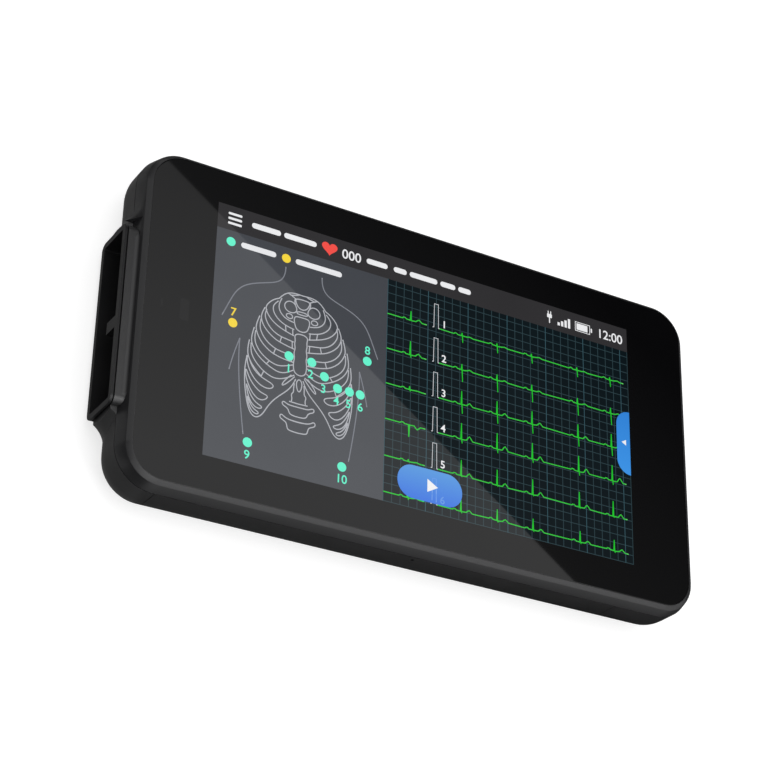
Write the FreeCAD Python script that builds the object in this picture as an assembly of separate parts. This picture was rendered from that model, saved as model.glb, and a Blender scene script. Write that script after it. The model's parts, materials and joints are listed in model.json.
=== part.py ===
import FreeCAD, Part
import math
import os

# Handheld ECG monitor, lying on its back. Millimetres.
# +X runs along the long side to the right of the screen, +Y up the screen, +Z out of the glass.
# The origin is on the flat back, under the middle of the screen.

Vec = FreeCAD.Vector
Y_AXIS = Vec(0, 1, 0)
Z_AXIS = Vec(0, 0, 1)

# Screen, and the border of glass round it
screen_half_length = 60.85   # lit area, 16 to 9
screen_half_width = 34.0
side_border = 17.3
long_border = 8.75
glass_corner_radius = 8.0
glass_thickness = 1.1
glass_sink = 0.08          # glass face below the lip
glass_chamfer = 0.15

# Outside of the two shells
thickness = 19.0           # back face to lip
parting_drop = 4.2         # lip down to the parting line
lip_width_x = 1.45         # from the glass's edge to the outside of the lip
lip_width_y = 1.2
lip_drop = 0.95            # height of the lip's chamfer
lip_flat = 0.2             # flat top of the lip, outside the glass
flare_x = 1.4              # from the outside of the lip to the parting line
flare_y = 0.65
lip_corner_growth = 1.2
flare_corner_growth = 1.3
back_radius = 9.4          # rounding between side and back

# Walls and fits
rear_wall = 3.1            # rear shell with the lid's layer
lid_wall = 1.5             # battery lid
front_wall = 1.9
fit_gap = 0.15             # loose pieces in their seats
slide_gap = 0.25           # moving pieces
face_gap = 0.1
overlap = 0.2              # how far joined solids run into each other
beyond = 1.0               # how far a cut runs past what it cuts
seam_height = 0.25         # shadow line between the shells
seam_depth = 0.3

# What carries the glass and the screen
tape_thickness = 0.25
tape_width = 3.2
ledge_thickness = 1.3
panel_margin = 2.0
panel_thickness = 1.5
panel_corner = 0.8
tray_margin = 0.8
tray_thickness = 2.0
tray_relief = 0.4
tray_relief_margin = 4.0
frame_thickness = 1.0
frame_edge_gap = 0.6
spigot_height = 0.9        # rear shell's lip inside the front shell
sensor_inset = 7.05        # sensor from the end of the screen
sensor_y = 1.9
sensor_size = (4.0, 8.0, 1.2)

# Screws and their posts
post_inset_x = 8.0
post_inset_y = 7.6
mid_post_x = 26.0
post_radius = 2.4
post_gap = 0.2
head_seat = 4.6
head_radius = 1.8
head_height = 1.4
head_bore_radius = 2.1
screw_radius = 0.95
screw_hole_radius = 1.2
screw_end_gap = 1.2        # screw's tip below the front shell's ledge
screw_recess_radius = 0.7
screw_recess_depth = 0.9

# Main board
board_drop = 1.1           # board below the frame
board_thickness = 1.6
board_lift = 0.2           # board above the posts' meeting height
board_gap_left = 1.2
board_gap_right = 6.0
board_post_gap = 2.0
board_corner = 2.0
board_screw_inset_left = 5.2
board_screw_inset_right = 4.0
board_screw_inset_y = 4.4
board_screw_radius = 0.9
board_screw_gap = 0.2
board_head_radius = 1.8
board_head_height = 1.2
board_recess_depth = 0.6
board_screw_length = 2.6
standoff_radius = 2.4

# Battery, its well and its lid
lid_inset_left = 11.0
lid_inset_right = 23.5
lid_edge_gap = 4.0         # lid's upper edge beyond its screws
battery_length = 84.0
battery_width = 52.0
battery_middle = (2.5, -2.0)
battery_corner = 3.0
battery_edge = 0.8
well_wall = 1.0
well_floor = 0.8
well_clear = 0.8           # well below the board
contact_inset = 8.0        # contacts from the battery's end
contact_size = (10.0, 6.0)
lid_screw_inset_left = 10.0
lid_screw_inset_right = 9.5
lid_screw_gap = 3.0        # screw's middle from the battery
lid_post_height = 3.2
lid_post_radius = 2.3
lid_screw_radius = 0.9
lid_head_radius = 1.8
lid_screw_length = 4.2
lid_head_sink = 0.1
cross_length = 2.2
cross_width = 0.44
cross_depth = 0.6

# Lead dock on the left end
dock_proud = 2.6           # plane of the mouth beyond the side
dock_y = -1.6              # middle of the dock
dock_half = 23.8           # half length of the collar
dock_low = 2.9
dock_rise = 2.0            # front face of the collar above the parting line
dock_corner = 2.0
dock_blend = 6.0           # concave blend between collar and side
blend_bite = 0.05          # the blend meets the side at a small angle
flange_thickness = 0.6
flange_seam = 0.35         # gap between flange and collar
dock_rim = 1.5             # width of the rim round the opening
tube_wall = 0.8
tube_gap = 0.06
dock_depth = 9.0           # mouth to the inner end of the frame
key_width = 3.1
key_length = 4.8
key_offset = -2.5
key_depth = 5.0
shoulder_gap = 1.3         # recess between the collar and the shoulder's outer end
shoulder_slant = 0.9       # how much wider the recess is at the lip
lip_round = 0.35           # rounding between the side and the lip's chamfer
relief_gap = 1.0           # spigot, seal and frame stop this far from the collar
socket_depth = 4.4
socket_margin = 0.4
tongue_length = 2.6
tongue_height = 2.2
tongue_lift = 1.4          # tongue above the floor of the opening
tongue_inset = 1.5
pin_margin = 1.9
pin_pitch = 2.54
pin_size = 0.8
pin_thickness = 0.4
pin_setback = 0.4          # pins behind the tongue's tip
pin_tail = 1.4             # bend of the tails behind the block
pin_gap = 0.02

# Shield cans and chips, placed from the nearer end of the board:
# distance from that end, middle y, length, width, height
can_wall = 0.3
can_corner = 0.8
processor_can = (11.0, -12.0, 14.0, 22.0, 2.2)
ecg_can = (9.7, 0.0, 9.5, 34.0, 2.2)
right_chips = [(16.0, -26.0, 5.0, 5.0, 1.0), (9.0, -26.0, 6.0, 4.0, 1.0),
               (16.0, 20.5, 7.0, 7.0, 1.2)]
left_chips = [(9.2, -25.0, 6.0, 4.0, 1.0), (9.2, 22.0, 6.0, 5.0, 1.0)]

# Ribbon of the display
flex_x = 20.0
flex_inset = 5.2           # from the board's long edge
flex_width = 15.0
flex_thickness = 0.3
flex_foot = 5.0
flex_slot_gap = 1.4

# Power button on the upper side
button_inset = 35.0        # from the right end
button_length = 13.0
button_height = 3.4
button_lift = 0.3          # middle of the button above the board's back
button_proud = 0.6
button_round = 0.4
button_flange = 0.9
button_flange_depth = 0.8
switch_length = 6.0
switch_depth = 2.6
switch_height = 2.4
plunger_radius = 0.8
plunger_length = 0.7
pad_thickness = 0.6
pad_half = (2.4, 1.0)
switch_gap = 0.45          # pad to plunger at rest, a little more than the travel
board_tab_half = 6.0

# Charging socket on the right end
usb_width = 8.94
usb_height = 3.2
usb_length = 7.3
usb_wall = 0.3
usb_back = 0.5
usb_corner = 1.55
usb_y = 6.0
usb_recess = 0.8           # socket's mouth behind the outside
tongue_usb_width = 6.6
tongue_usb_height = 0.7
tongue_usb_length = 4.6

# Sound and radio
speaker_inset = 9.5        # from the board's right end
speaker_y = 9.5
speaker_size = (10.0, 16.0, 3.4)
speaker_corner = 1.5
dish_margin = 1.2
dish_depth = 0.6
slot_count = 5
slot_pitch = 2.4
slot_length = 7.0
slot_width = 1.0
slot_round = 0.98          # share of the half width that the slots' ends are rounded by
mic_x = -1.0
mic_drop = 1.8             # sound hole below the parting line
mic_radius = 0.45
mic_body_radius = 1.7
mic_body_length = 1.5
antenna_length = 48.0
antenna_width = 4.0
antenna_thickness = 0.3
antenna_drop = 0.4
antenna_x = -4.0

# Plan sizes worked out from the ones above
glass_half_length = screen_half_length + side_border
glass_half_width = screen_half_width + long_border
lip_half_length = glass_half_length + lip_width_x
lip_half_width = glass_half_width + lip_width_y
lip_corner_radius = glass_corner_radius + lip_corner_growth
half_length = lip_half_length + flare_x
half_width = lip_half_width + flare_y
corner_radius = lip_corner_radius + flare_corner_growth
inner_half_length = half_length - rear_wall
inner_half_width = half_width - rear_wall
tray_half_length = screen_half_length + panel_margin - tray_margin
tray_half_width = screen_half_width + panel_margin - tray_margin
mid_post_y = tray_half_width + post_gap + post_radius
post_places = [(sx * x, sy * y)
               for x, y in ((half_length - post_inset_x, half_width - post_inset_y),
                            (mid_post_x, mid_post_y))
               for sx in (-1, 1) for sy in (-1, 1)]

# Heights worked out from the ones above
parting = thickness - parting_drop
glass_top = thickness - glass_sink
glass_low = glass_top - glass_thickness
ledge_top = glass_low - tape_thickness
ledge_low = ledge_top - ledge_thickness
panel_low = glass_low - panel_thickness
tray_low = panel_low - tray_thickness
frame_low = tray_low - frame_thickness
board_top = frame_low - board_drop
board_low = board_top - board_thickness
post_split = board_low - board_lift
well_top = board_low - well_clear - well_floor
battery_height = well_top - lid_wall - 2 * fit_gap
screw_length = ledge_low - screw_end_gap - head_seat

# Lead dock
dock_reach = half_length + dock_proud
dock_inner = dock_reach - dock_depth
dock_north = dock_y + dock_half
dock_south = dock_y - dock_half
dock_top = parting + dock_rise
opening_low = dock_low + dock_rim
opening_high = dock_top - dock_rim
opening_half = dock_half - dock_rim
key_y = dock_y + key_offset
collar_end = dock_reach - flange_thickness - flange_seam
socket_end = dock_inner - socket_depth
tongue_top = opening_low + tongue_lift + tongue_height
tongue_half = opening_half - socket_margin - tongue_inset
pin_count = int(2 * (tongue_half - pin_margin) / pin_pitch) + 1
blend_low = dock_low + dock_corner
blend_top = min(parting, dock_top - dock_corner)
blend_reach = dock_blend - blend_bite

# Board, battery lid, button and speaker
board_left = -socket_end + board_gap_left
board_right = half_length - board_gap_right
board_half_width = mid_post_y - post_radius - board_post_gap
board_screw_places = [(x, side * (board_half_width - board_screw_inset_y))
                      for x in (board_left + board_screw_inset_left,
                                board_right - board_screw_inset_right)
                      for side in (-1, 1)]
lid_left = -half_length + lid_inset_left
lid_right = half_length - lid_inset_right
lid_screw_y = battery_middle[1] + battery_width / 2 + lid_screw_gap
lid_top = lid_screw_y + lid_edge_gap
lid_screw_places = [(lid_left + lid_screw_inset_left, lid_screw_y),
                    (lid_right - lid_screw_inset_right, lid_screw_y)]
flex_y = -board_half_width + flex_inset
button_x = half_length - button_inset
button_z = board_low + button_lift
button_back = inner_half_width - face_gap - button_flange_depth
switch_top = button_back - pad_thickness - switch_gap - plunger_length
switch_z = board_low - switch_height / 2
usb_mouth = half_length - usb_recess
usb_z = board_low - usb_height / 2
speaker_middle = (board_right - speaker_inset, speaker_y)
mic_z = parting - mic_drop


def box(x0, x1, y0, y1, z0, z1):
    return Part.makeBox(x1 - x0, y1 - y0, z1 - z0, Vec(x0, y0, z0))


def cylinder(x, y, z0, z1, radius):
    return Part.makeCylinder(radius, z1 - z0, Vec(x, y, z0), Z_AXIS)


def fuse(shapes):
    whole = shapes[0]
    if len(shapes) > 1:
        whole = whole.multiFuse(shapes[1:])
    return whole.removeSplitter()


def rounded_wire(half_x, half_y, radius, z, middle=(0.0, 0.0)):
    """Closed rounded rectangle in the plane at height z."""
    cx, cy = middle
    bend = radius * math.sqrt(0.5)
    edges = []
    corners = [(1, 1), (-1, 1), (-1, -1), (1, -1)]
    for index, (sx, sy) in enumerate(corners):
        ox = cx + sx * (half_x - radius)
        oy = cy + sy * (half_y - radius)
        side = Vec(ox + sx * radius, oy, z)
        end = Vec(ox, oy + sy * radius, z)
        middle_point = Vec(ox + sx * bend, oy + sy * bend, z)
        first, last = (side, end) if sx * sy > 0 else (end, side)
        edges.append(Part.Arc(first, middle_point, last).toShape())
    sides = []
    for index in range(4):
        start = edges[index].valueAt(edges[index].LastParameter)
        finish = edges[(index + 1) % 4].valueAt(edges[(index + 1) % 4].FirstParameter)
        sides.append(edges[index])
        sides.append(Part.LineSegment(start, finish).toShape())
    return Part.Wire(sides)


def rounded_slab(half_x, half_y, radius, z0, z1, middle=(0.0, 0.0)):
    face = Part.Face(rounded_wire(half_x, half_y, radius, z0, middle))
    return face.extrude(Vec(0, 0, z1 - z0))


def rounded_bar_x(x0, x1, y0, y1, z0, z1, radius):
    """Bar along X whose long edges are rounded."""
    bar = box(x0, x1, y0, y1, z0, z1)
    long_edges = [e for e in bar.Edges if abs(e.tangentAt(e.FirstParameter).x) > 0.9]
    return bar.makeFillet(radius, long_edges)


def rounded_bar_y(x0, x1, y0, y1, z0, z1, radius):
    """Bar along Y whose long edges are rounded."""
    bar = box(x0, x1, y0, y1, z0, z1)
    long_edges = [e for e in bar.Edges if abs(e.tangentAt(e.FirstParameter).y) > 0.9]
    return bar.makeFillet(radius, long_edges)


def back_envelope(inset, top):
    """Rear half of the body, drawn in from the outside by inset all over."""
    slab = rounded_slab(half_length - inset, half_width - inset, corner_radius - inset, inset, top)
    low_edges = [e for e in slab.Edges
                 if e.BoundBox.ZMax < inset + 0.01]
    return slab.makeFillet(back_radius - inset, low_edges)


def front_envelope():
    """Front half of the body: flared side, then the lip's chamfer, with the edge between rounded."""
    edge_z = thickness - lip_drop
    side = Part.makeLoft([rounded_wire(half_length, half_width, corner_radius, parting),
                          rounded_wire(lip_half_length, lip_half_width, lip_corner_radius,
                                       edge_z)], True, True)
    chamfer = Part.makeLoft([rounded_wire(lip_half_length, lip_half_width, lip_corner_radius,
                                          edge_z),
                             rounded_wire(glass_half_length + lip_flat, glass_half_width + lip_flat,
                                          glass_corner_radius + lip_flat, thickness)], True, True)
    whole = fuse([side, chamfer])
    ring = [e for e in whole.Edges
            if e.BoundBox.ZMax - e.BoundBox.ZMin < 0.01 and abs(e.BoundBox.ZMin - edge_z) < 0.01]
    return whole.makeFillet(lip_round, ring)


def collar():
    """Collar of the lead dock, up to the seam behind the frame's flange."""
    return rounded_bar_x(-collar_end, -inner_half_length + back_radius,
                         dock_south, dock_north, dock_low, dock_top, dock_corner)


def collar_space():
    """Space for the collar and the frame's flange in the wall of the front shell."""
    return rounded_bar_x(-dock_reach - beyond, -inner_half_length + face_gap,
                         dock_south - face_gap, dock_north + face_gap,
                         dock_low, dock_top + face_gap, dock_corner + face_gap)


def blend_x(y):
    """Outline, in plan, of the blend at the collar's north end."""
    ball_y = dock_north + dock_blend
    return -half_length - blend_reach + math.sqrt(dock_blend ** 2 - (y - ball_y) ** 2)


def shoulder():
    """Part of the front shell that carries the blend on, and ends in a recess at the collar."""
    top_z = thickness - lip_drop - lip_round
    top_x = -lip_half_length - flare_x * lip_round / (parting_drop - lip_drop)
    inner = -half_length + front_wall
    start = dock_north + shoulder_gap
    end = dock_north + dock_blend
    middle = (start + end) / 2
    first, second, third = [Vec(blend_x(y), y, parting) for y in (start, middle, end)]
    low = Part.Wire([Part.LineSegment(Vec(inner, start, parting), first).toShape(),
                     Part.Arc(first, second, third).toShape(),
                     Part.LineSegment(third, Vec(inner, end, parting)).toShape(),
                     Part.LineSegment(Vec(inner, end, parting),
                                      Vec(inner, start, parting)).toShape()])
    high = Part.makePolygon([Vec(inner, start + shoulder_slant, top_z),
                             Vec(top_x, start + shoulder_slant, top_z),
                             Vec(top_x + blend_bite, end, top_z), Vec(inner, end, top_z),
                             Vec(inner, start + shoulder_slant, top_z)])
    return Part.makeLoft([low, high], True, True)


def dock_relief(z0, z1, gap):
    """Space round the collar that the shells' rims leave free, reaching in by gap."""
    return box(-half_length - beyond, -inner_half_length + gap,
               dock_south - relief_gap - gap, dock_north + relief_gap + gap, z0, z1)


def sensor_block(gap, top):
    """The sensor behind the glass, or with a gap its seat in the front shell."""
    length, width, height = sensor_size
    x = -screen_half_length - sensor_inset
    return box(x - length / 2 - gap, x + length / 2 + gap, sensor_y - width / 2 - gap,
               sensor_y + width / 2 + gap, glass_low - height - gap, top)


def front_bezel():
    shell = fuse([front_envelope(), shoulder()])
    cavity = rounded_slab(half_length - front_wall, half_width - front_wall,
                          corner_radius - front_wall, parting - beyond, ledge_low)
    glass_seat = rounded_slab(glass_half_length + face_gap, glass_half_width + face_gap,
                              glass_corner_radius + face_gap, ledge_top, thickness + beyond)
    window = rounded_slab(screen_half_length + panel_margin + fit_gap,
                          screen_half_width + panel_margin + fit_gap, panel_corner,
                          parting, thickness)
    shell = shell.cut(cavity).cut(glass_seat).cut(window).cut(collar_space())
    posts = [cylinder(x, y, post_split, ledge_low, post_radius) for x, y in post_places]
    shell = fuse([shell] + posts)
    bores = [cylinder(x, y, post_split - beyond, ledge_low, screw_radius) for x, y in post_places]
    return shell.cut(Part.makeCompound(bores)).cut(sensor_block(fit_gap, thickness))


def cover_glass():
    glass = rounded_slab(glass_half_length, glass_half_width, glass_corner_radius,
                         glass_low, glass_top)
    rim = [e for e in glass.Edges if e.BoundBox.ZMin > glass_top - overlap]
    return glass.makeChamfer(glass_chamfer, rim)


def glass_tape():
    outer = rounded_slab(glass_half_length - face_gap, glass_half_width - face_gap,
                         glass_corner_radius, ledge_top, glass_low)
    inner = rounded_slab(glass_half_length - tape_width, glass_half_width - tape_width,
                         glass_corner_radius - tape_width / 2, ledge_top - beyond,
                         glass_low + beyond)
    return outer.cut(inner)


def lcd_panel():
    return rounded_slab(screen_half_length + panel_margin, screen_half_width + panel_margin,
                        panel_corner, panel_low, glass_low)


def backlight_tray():
    tray = rounded_slab(tray_half_length, tray_half_width, panel_corner, tray_low, panel_low)
    relief = rounded_slab(screen_half_length - tray_relief_margin,
                          screen_half_width - tray_relief_margin, board_corner,
                          tray_low - beyond, tray_low + tray_relief)
    return tray.cut(relief)


def mid_frame():
    plate = rounded_slab(inner_half_length - frame_edge_gap, inner_half_width - frame_edge_gap,
                         corner_radius - rear_wall - frame_edge_gap, frame_low, tray_low)
    standoffs = [cylinder(x, y, board_top, frame_low + overlap, standoff_radius)
                 for x, y in board_screw_places]
    plate = fuse([plate] + standoffs)
    holes = [cylinder(x, y, post_split, thickness, post_radius + fit_gap) for x, y in post_places]
    holes += [cylinder(x, y, board_low, thickness, board_screw_radius)
              for x, y in board_screw_places]
    slot = box(flex_x - flex_width / 2 - flex_slot_gap, flex_x + flex_width / 2 + flex_slot_gap,
               flex_y - flex_slot_gap, flex_y + flex_slot_gap, frame_low - beyond, tray_low + beyond)
    dock_space = box(-half_length, board_left + board_gap_left, dock_south - relief_gap,
                     dock_north + relief_gap, frame_low - beyond, tray_low + beyond)
    mic_space = box(mic_x - mic_body_radius - post_gap, mic_x + mic_body_radius + post_gap,
                    -inner_half_width, -inner_half_width + mic_body_length + frame_edge_gap,
                    frame_low - beyond, tray_low + beyond)
    return plate.cut(Part.makeCompound(holes + [slot, dock_space, mic_space]))


def main_board():
    half_x = (board_right - board_left) / 2
    middle = ((board_right + board_left) / 2, 0.0)
    board = rounded_slab(half_x, board_half_width, board_corner, board_low, board_top, middle)
    tab = box(button_x - board_tab_half, button_x + board_tab_half,
              board_half_width - board_corner, switch_top, board_low, board_top)
    board = fuse([board, tab])
    holes = [cylinder(x, y, board_low - beyond, board_top + beyond,
                      board_screw_radius + board_screw_gap)
             for x, y in board_screw_places]
    return board.cut(Part.makeCompound(holes))


def shield_can(place, from_right):
    """Thin sheet box hanging from the back of the board, open towards it."""
    inset, y, length, width, height = place
    x = board_right - inset if from_right else board_left + inset
    can = box(x - length / 2, x + length / 2, y - width / 2, y + width / 2,
              board_low - height, board_low)
    corners = [e for e in can.Edges if abs(e.tangentAt(e.FirstParameter).z) > 0.9]
    can = can.makeFillet(can_corner, corners)
    hollow = box(x - length / 2 + can_wall, x + length / 2 - can_wall,
                 y - width / 2 + can_wall, y + width / 2 - can_wall,
                 board_low - height + can_wall, board_low + beyond)
    return can.cut(hollow)


def board_chips():
    chips = []
    places = [(board_right - chip[0], chip) for chip in right_chips]
    places += [(board_left + chip[0], chip) for chip in left_chips]
    for x, (_, y, length, width, height) in places:
        chips.append(box(x - length / 2, x + length / 2, y - width / 2, y + width / 2,
                         board_low - height, board_low))
    return Part.makeCompound(chips)


def display_flex():
    """Ribbon that leaves the tray, passes the frame's slot and ends on the board."""
    x0 = flex_x - flex_width / 2
    x1 = flex_x + flex_width / 2
    y0 = flex_y - flex_thickness / 2
    ribbon = box(x0, x1, y0, y0 + flex_thickness, board_top, tray_low)
    foot = box(x0, x1, y0, y0 + flex_foot, board_top, board_top + flex_thickness)
    return fuse([ribbon, foot])


def lid_region(gap):
    """Space of the battery lid's layer, made larger by gap."""
    return box(lid_left - gap, lid_right + gap, -half_width - beyond, lid_top + gap,
               -beyond, parting + beyond)


def lid_layer():
    return back_envelope(0.0, parting).cut(back_envelope(lid_wall, parting + beyond))


def microphone_hole():
    return Part.makeCylinder(mic_radius, rear_wall + 2 * beyond,
                             Vec(mic_x, -half_width - beyond, mic_z), Y_AXIS)


def battery_cover():
    lid = lid_layer().common(lid_region(0.0))
    lid = lid.cut(box(-half_length, half_length, -half_width - beyond, half_width,
                      parting - seam_height, parting + beyond))
    for x, y in lid_screw_places:
        head = Part.makeCone(lid_head_radius + face_gap, lid_screw_radius + fit_gap, lid_wall,
                             Vec(x, y, 0), Z_AXIS)
        lid = lid.cut(head)
    return lid.cut(microphone_hole())


def cover_screws():
    screws = []
    for x, y in lid_screw_places:
        head = Part.makeCone(lid_head_radius, lid_screw_radius, lid_wall - lid_head_sink,
                             Vec(x, y, lid_head_sink), Z_AXIS)
        stem = cylinder(x, y, lid_wall - overlap, lid_screw_length, lid_screw_radius)
        screw = fuse([head, stem])
        for angle in (0, 90):
            blade = box(-cross_length / 2, cross_length / 2, -cross_width / 2, cross_width / 2,
                        0, cross_depth)
            blade.rotate(Vec(0, 0, 0), Z_AXIS, angle)
            blade.translate(Vec(x, y, 0))
            screw = screw.cut(blade)
        screws.append(screw)
    return Part.makeCompound(screws)


def battery_well():
    """Outer block and hollow of the well that holds the battery."""
    half_x = battery_length / 2 + fit_gap
    half_y = battery_width / 2 + fit_gap
    block = rounded_slab(half_x + well_wall, half_y + well_wall, battery_corner + well_wall,
                         lid_wall, well_top + well_floor, battery_middle)
    hollow = rounded_slab(half_x, half_y, battery_corner, 0.0, well_top, battery_middle)
    return block, hollow


def speaker_slots():
    cx, cy = speaker_middle
    slots = []
    for index in range(slot_count):
        y = cy + (index - (slot_count - 1) / 2) * slot_pitch
        slots.append(rounded_slab(slot_length / 2, slot_width / 2, slot_width / 2 * slot_round,
                                  -beyond, rear_wall + beyond, (cx, y)))
    return Part.makeCompound(slots)


def button_opening(gap):
    """Slot through the upper wall for the button's cap."""
    return rounded_bar_y(button_x - button_length / 2 - gap, button_x + button_length / 2 + gap,
                         inner_half_width - beyond, half_width + button_proud,
                         button_z - button_height / 2 - gap, button_z + button_height / 2 + gap,
                         button_height / 2 * slot_round)


def usb_body(x0, x1, grow):
    half_y = usb_width / 2 + grow
    half_z = usb_height / 2 + grow
    return rounded_bar_x(x0, x1, usb_y - half_y, usb_y + half_y, usb_z - half_z, usb_z + half_z,
                         usb_corner + grow)


def seam_ring():
    """Shadow line round the top of the rear shell."""
    outer = rounded_slab(half_length + beyond, half_width + beyond, corner_radius + beyond,
                         parting - seam_height, parting + beyond)
    inner = rounded_slab(half_length - seam_depth, half_width - seam_depth,
                         corner_radius - seam_depth, parting - seam_height - beyond,
                         parting + 2 * beyond)
    return outer.cut(inner)


def contact_block(gap):
    """Battery contacts, in a window of the well's floor, up to the board."""
    cx, cy = battery_middle
    x = cx + battery_length / 2 - contact_inset
    return box(x - contact_size[0] / 2 - gap, x + contact_size[0] / 2 + gap,
               cy - contact_size[1] / 2 - gap, cy + contact_size[1] / 2 + gap,
               well_top - gap, board_low + gap)


def rim_ring(low, high):
    """Ring just inside the front shell's wall, open over the lead dock."""
    outer = rounded_slab(half_length - front_wall - face_gap, half_width - front_wall - face_gap,
                         corner_radius - front_wall - face_gap, low, high)
    inner = rounded_slab(inner_half_length, inner_half_width, corner_radius - rear_wall,
                         low - beyond, high + beyond)
    return outer.cut(inner).cut(dock_relief(low - beyond, high + beyond, face_gap))


def rear_shell():
    outer = back_envelope(0.0, parting).cut(seam_ring())
    shell = fuse([outer, collar(), collar_flare(1), collar_flare(-1)])
    shell = shell.cut(back_envelope(rear_wall, dock_top + beyond))
    under_lid = back_envelope(lid_wall + fit_gap, parting)
    posts = [cylinder(x, y, lid_wall + fit_gap, post_split, post_radius).common(under_lid)
             for x, y in post_places]
    lid_posts = [cylinder(x, y, rear_wall - overlap, rear_wall + lid_post_height, lid_post_radius)
                 for x, y in lid_screw_places]
    block, hollow = battery_well()
    spigot = rim_ring(parting - 2 * overlap, parting + spigot_height)
    shell = fuse([shell, spigot, block] + posts + lid_posts)
    shell = shell.cut(lid_layer().common(lid_region(fit_gap)))
    shell = shell.cut(hollow).cut(contact_block(fit_gap))
    for x, y in post_places:
        shell = shell.cut(cylinder(x, y, -beyond, head_seat, head_bore_radius))
        shell = shell.cut(cylinder(x, y, -beyond, post_split + beyond, screw_hole_radius))
    for x, y in lid_screw_places:
        shell = shell.cut(cylinder(x, y, 0, lid_screw_length + overlap, lid_screw_radius))
    shell = shell.cut(dock_bore())
    shell = shell.cut(speaker_slots()).cut(microphone_hole()).cut(button_opening(slide_gap))
    return shell.cut(usb_body(inner_half_length - beyond, half_length + beyond, fit_gap))


def collar_flare(side):
    """Concave blend where one end of the collar meets the side of the body."""
    end_y = dock_y + side * dock_half
    ball_y = end_y + side * dock_blend
    near_y = end_y - side * dock_corner
    strip = box(-collar_end, -inner_half_length + back_radius,
                min(near_y, ball_y), max(near_y, ball_y), blend_low, blend_top)
    strip = strip.common(back_envelope(-blend_reach, parting))
    upright = Part.makeCylinder(dock_blend, parting,
                                Vec(-half_length - blend_reach, ball_y, back_radius), Z_AXIS)
    bend = Part.makeTorus(back_radius + blend_reach, dock_blend,
                          Vec(-half_length + back_radius, ball_y, back_radius), Y_AXIS)
    return strip.cut(upright).cut(bend)


def dock_bore():
    grow = tube_wall + tube_gap
    return rounded_bar_x(-dock_reach - beyond, -socket_end + beyond,
                         dock_y - opening_half - grow, dock_y + opening_half + grow,
                         opening_low - grow, opening_high + grow, dock_corner - dock_rim + grow)


def port_frame():
    flange = rounded_bar_x(-dock_reach, -dock_reach + flange_thickness, dock_south, dock_north,
                           dock_low, dock_top, dock_corner)
    tube = rounded_bar_x(-dock_reach, -dock_inner, dock_y - opening_half - tube_wall,
                         dock_y + opening_half + tube_wall, opening_low - tube_wall,
                         opening_high + tube_wall, dock_corner - dock_rim + tube_wall)
    hollow = rounded_bar_x(-dock_reach - beyond, -dock_inner + beyond, dock_y - opening_half,
                           dock_y + opening_half, opening_low, opening_high,
                           dock_corner - dock_rim)
    key = box(-dock_reach, -dock_reach + key_depth, key_y - key_width / 2,
              key_y + key_width / 2, opening_high - key_length, opening_high + overlap)
    return fuse([fuse([flange, tube]).cut(hollow), key])


def pin_rows():
    return [dock_y + (index - (pin_count - 1) / 2) * pin_pitch for index in range(pin_count)]


def pin_solid(y, grow):
    """One contact: a blade along the top of the tongue and through the block."""
    half = pin_size / 2 + grow
    return box(-dock_inner - tongue_length + pin_setback, -socket_end + pin_tail,
               y - half, y + half, tongue_top - pin_thickness - grow, tongue_top + grow)


def lead_socket():
    """Insulator that closes the inner end of the dock, with its contact tongue."""
    half_y = opening_half - socket_margin
    block = box(-dock_inner, -socket_end, dock_y - half_y, dock_y + half_y,
                opening_low + socket_margin, opening_high - socket_margin)
    tongue = box(-dock_inner - tongue_length, -dock_inner, dock_y - tongue_half,
                 dock_y + tongue_half, tongue_top - tongue_height, tongue_top)
    socket = fuse([block, tongue])
    for y in pin_rows():
        socket = socket.cut(pin_solid(y, pin_gap))
    return socket


def lead_contacts():
    x_tail = -socket_end + pin_tail
    pins = []
    for y in pin_rows():
        tail = box(x_tail - pin_thickness, x_tail, y - pin_size / 2, y + pin_size / 2,
                   tongue_top - pin_thickness, board_low)
        pins.append(fuse([pin_solid(y, 0.0), tail]))
    return Part.makeCompound(pins)


def battery_pack():
    cx, cy = battery_middle
    pack = rounded_slab(battery_length / 2, battery_width / 2, battery_corner,
                        lid_wall + fit_gap, lid_wall + fit_gap + battery_height, battery_middle)
    return pack.makeFillet(battery_edge, [e for e in pack.Edges if e.BoundBox.ZLength < 0.01])


def battery_contacts():
    return contact_block(0.0)


def shell_screws():
    screws = []
    for x, y in post_places:
        head = cylinder(x, y, head_seat - head_height, head_seat, head_radius)
        stem = cylinder(x, y, head_seat - overlap, head_seat + screw_length, screw_radius)
        recess = Part.makeCylinder(screw_recess_radius, screw_recess_depth,
                                   Vec(x, y, head_seat - head_height), Z_AXIS)
        screws.append(fuse([head, stem]).cut(recess))
    return Part.makeCompound(screws)


def board_screws():
    screws = []
    for x, y in board_screw_places:
        head = cylinder(x, y, board_low - board_head_height, board_low, board_head_radius)
        stem = cylinder(x, y, board_low - overlap, board_low + board_screw_length,
                        board_screw_radius)
        recess = cylinder(x, y, board_low - board_head_height, board_low - board_recess_depth,
                          screw_recess_radius)
        screws.append(fuse([head, stem]).cut(recess))
    return Part.makeCompound(screws)


def shell_seal():
    """Gasket on the rear shell's spigot, under the front shell's ledge."""
    return rim_ring(parting + spigot_height, ledge_low)


def power_button():
    cap = button_opening(0.0)
    front = inner_half_width - face_gap
    cap = cap.common(box(-half_length, half_length, front - overlap, half_width + button_proud,
                         0, thickness))
    reach_x = button_length / 2 + button_flange
    reach_z = (button_height + button_flange) / 2
    rim = box(button_x - reach_x, button_x + reach_x, button_back, front,
              button_z - reach_z, button_z + reach_z)
    button = fuse([cap, rim])
    face_y = half_width + button_proud
    outer_edges = [e for e in button.Edges if e.BoundBox.YMin > face_y - overlap]
    return button.makeFillet(button_round, outer_edges)


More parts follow.
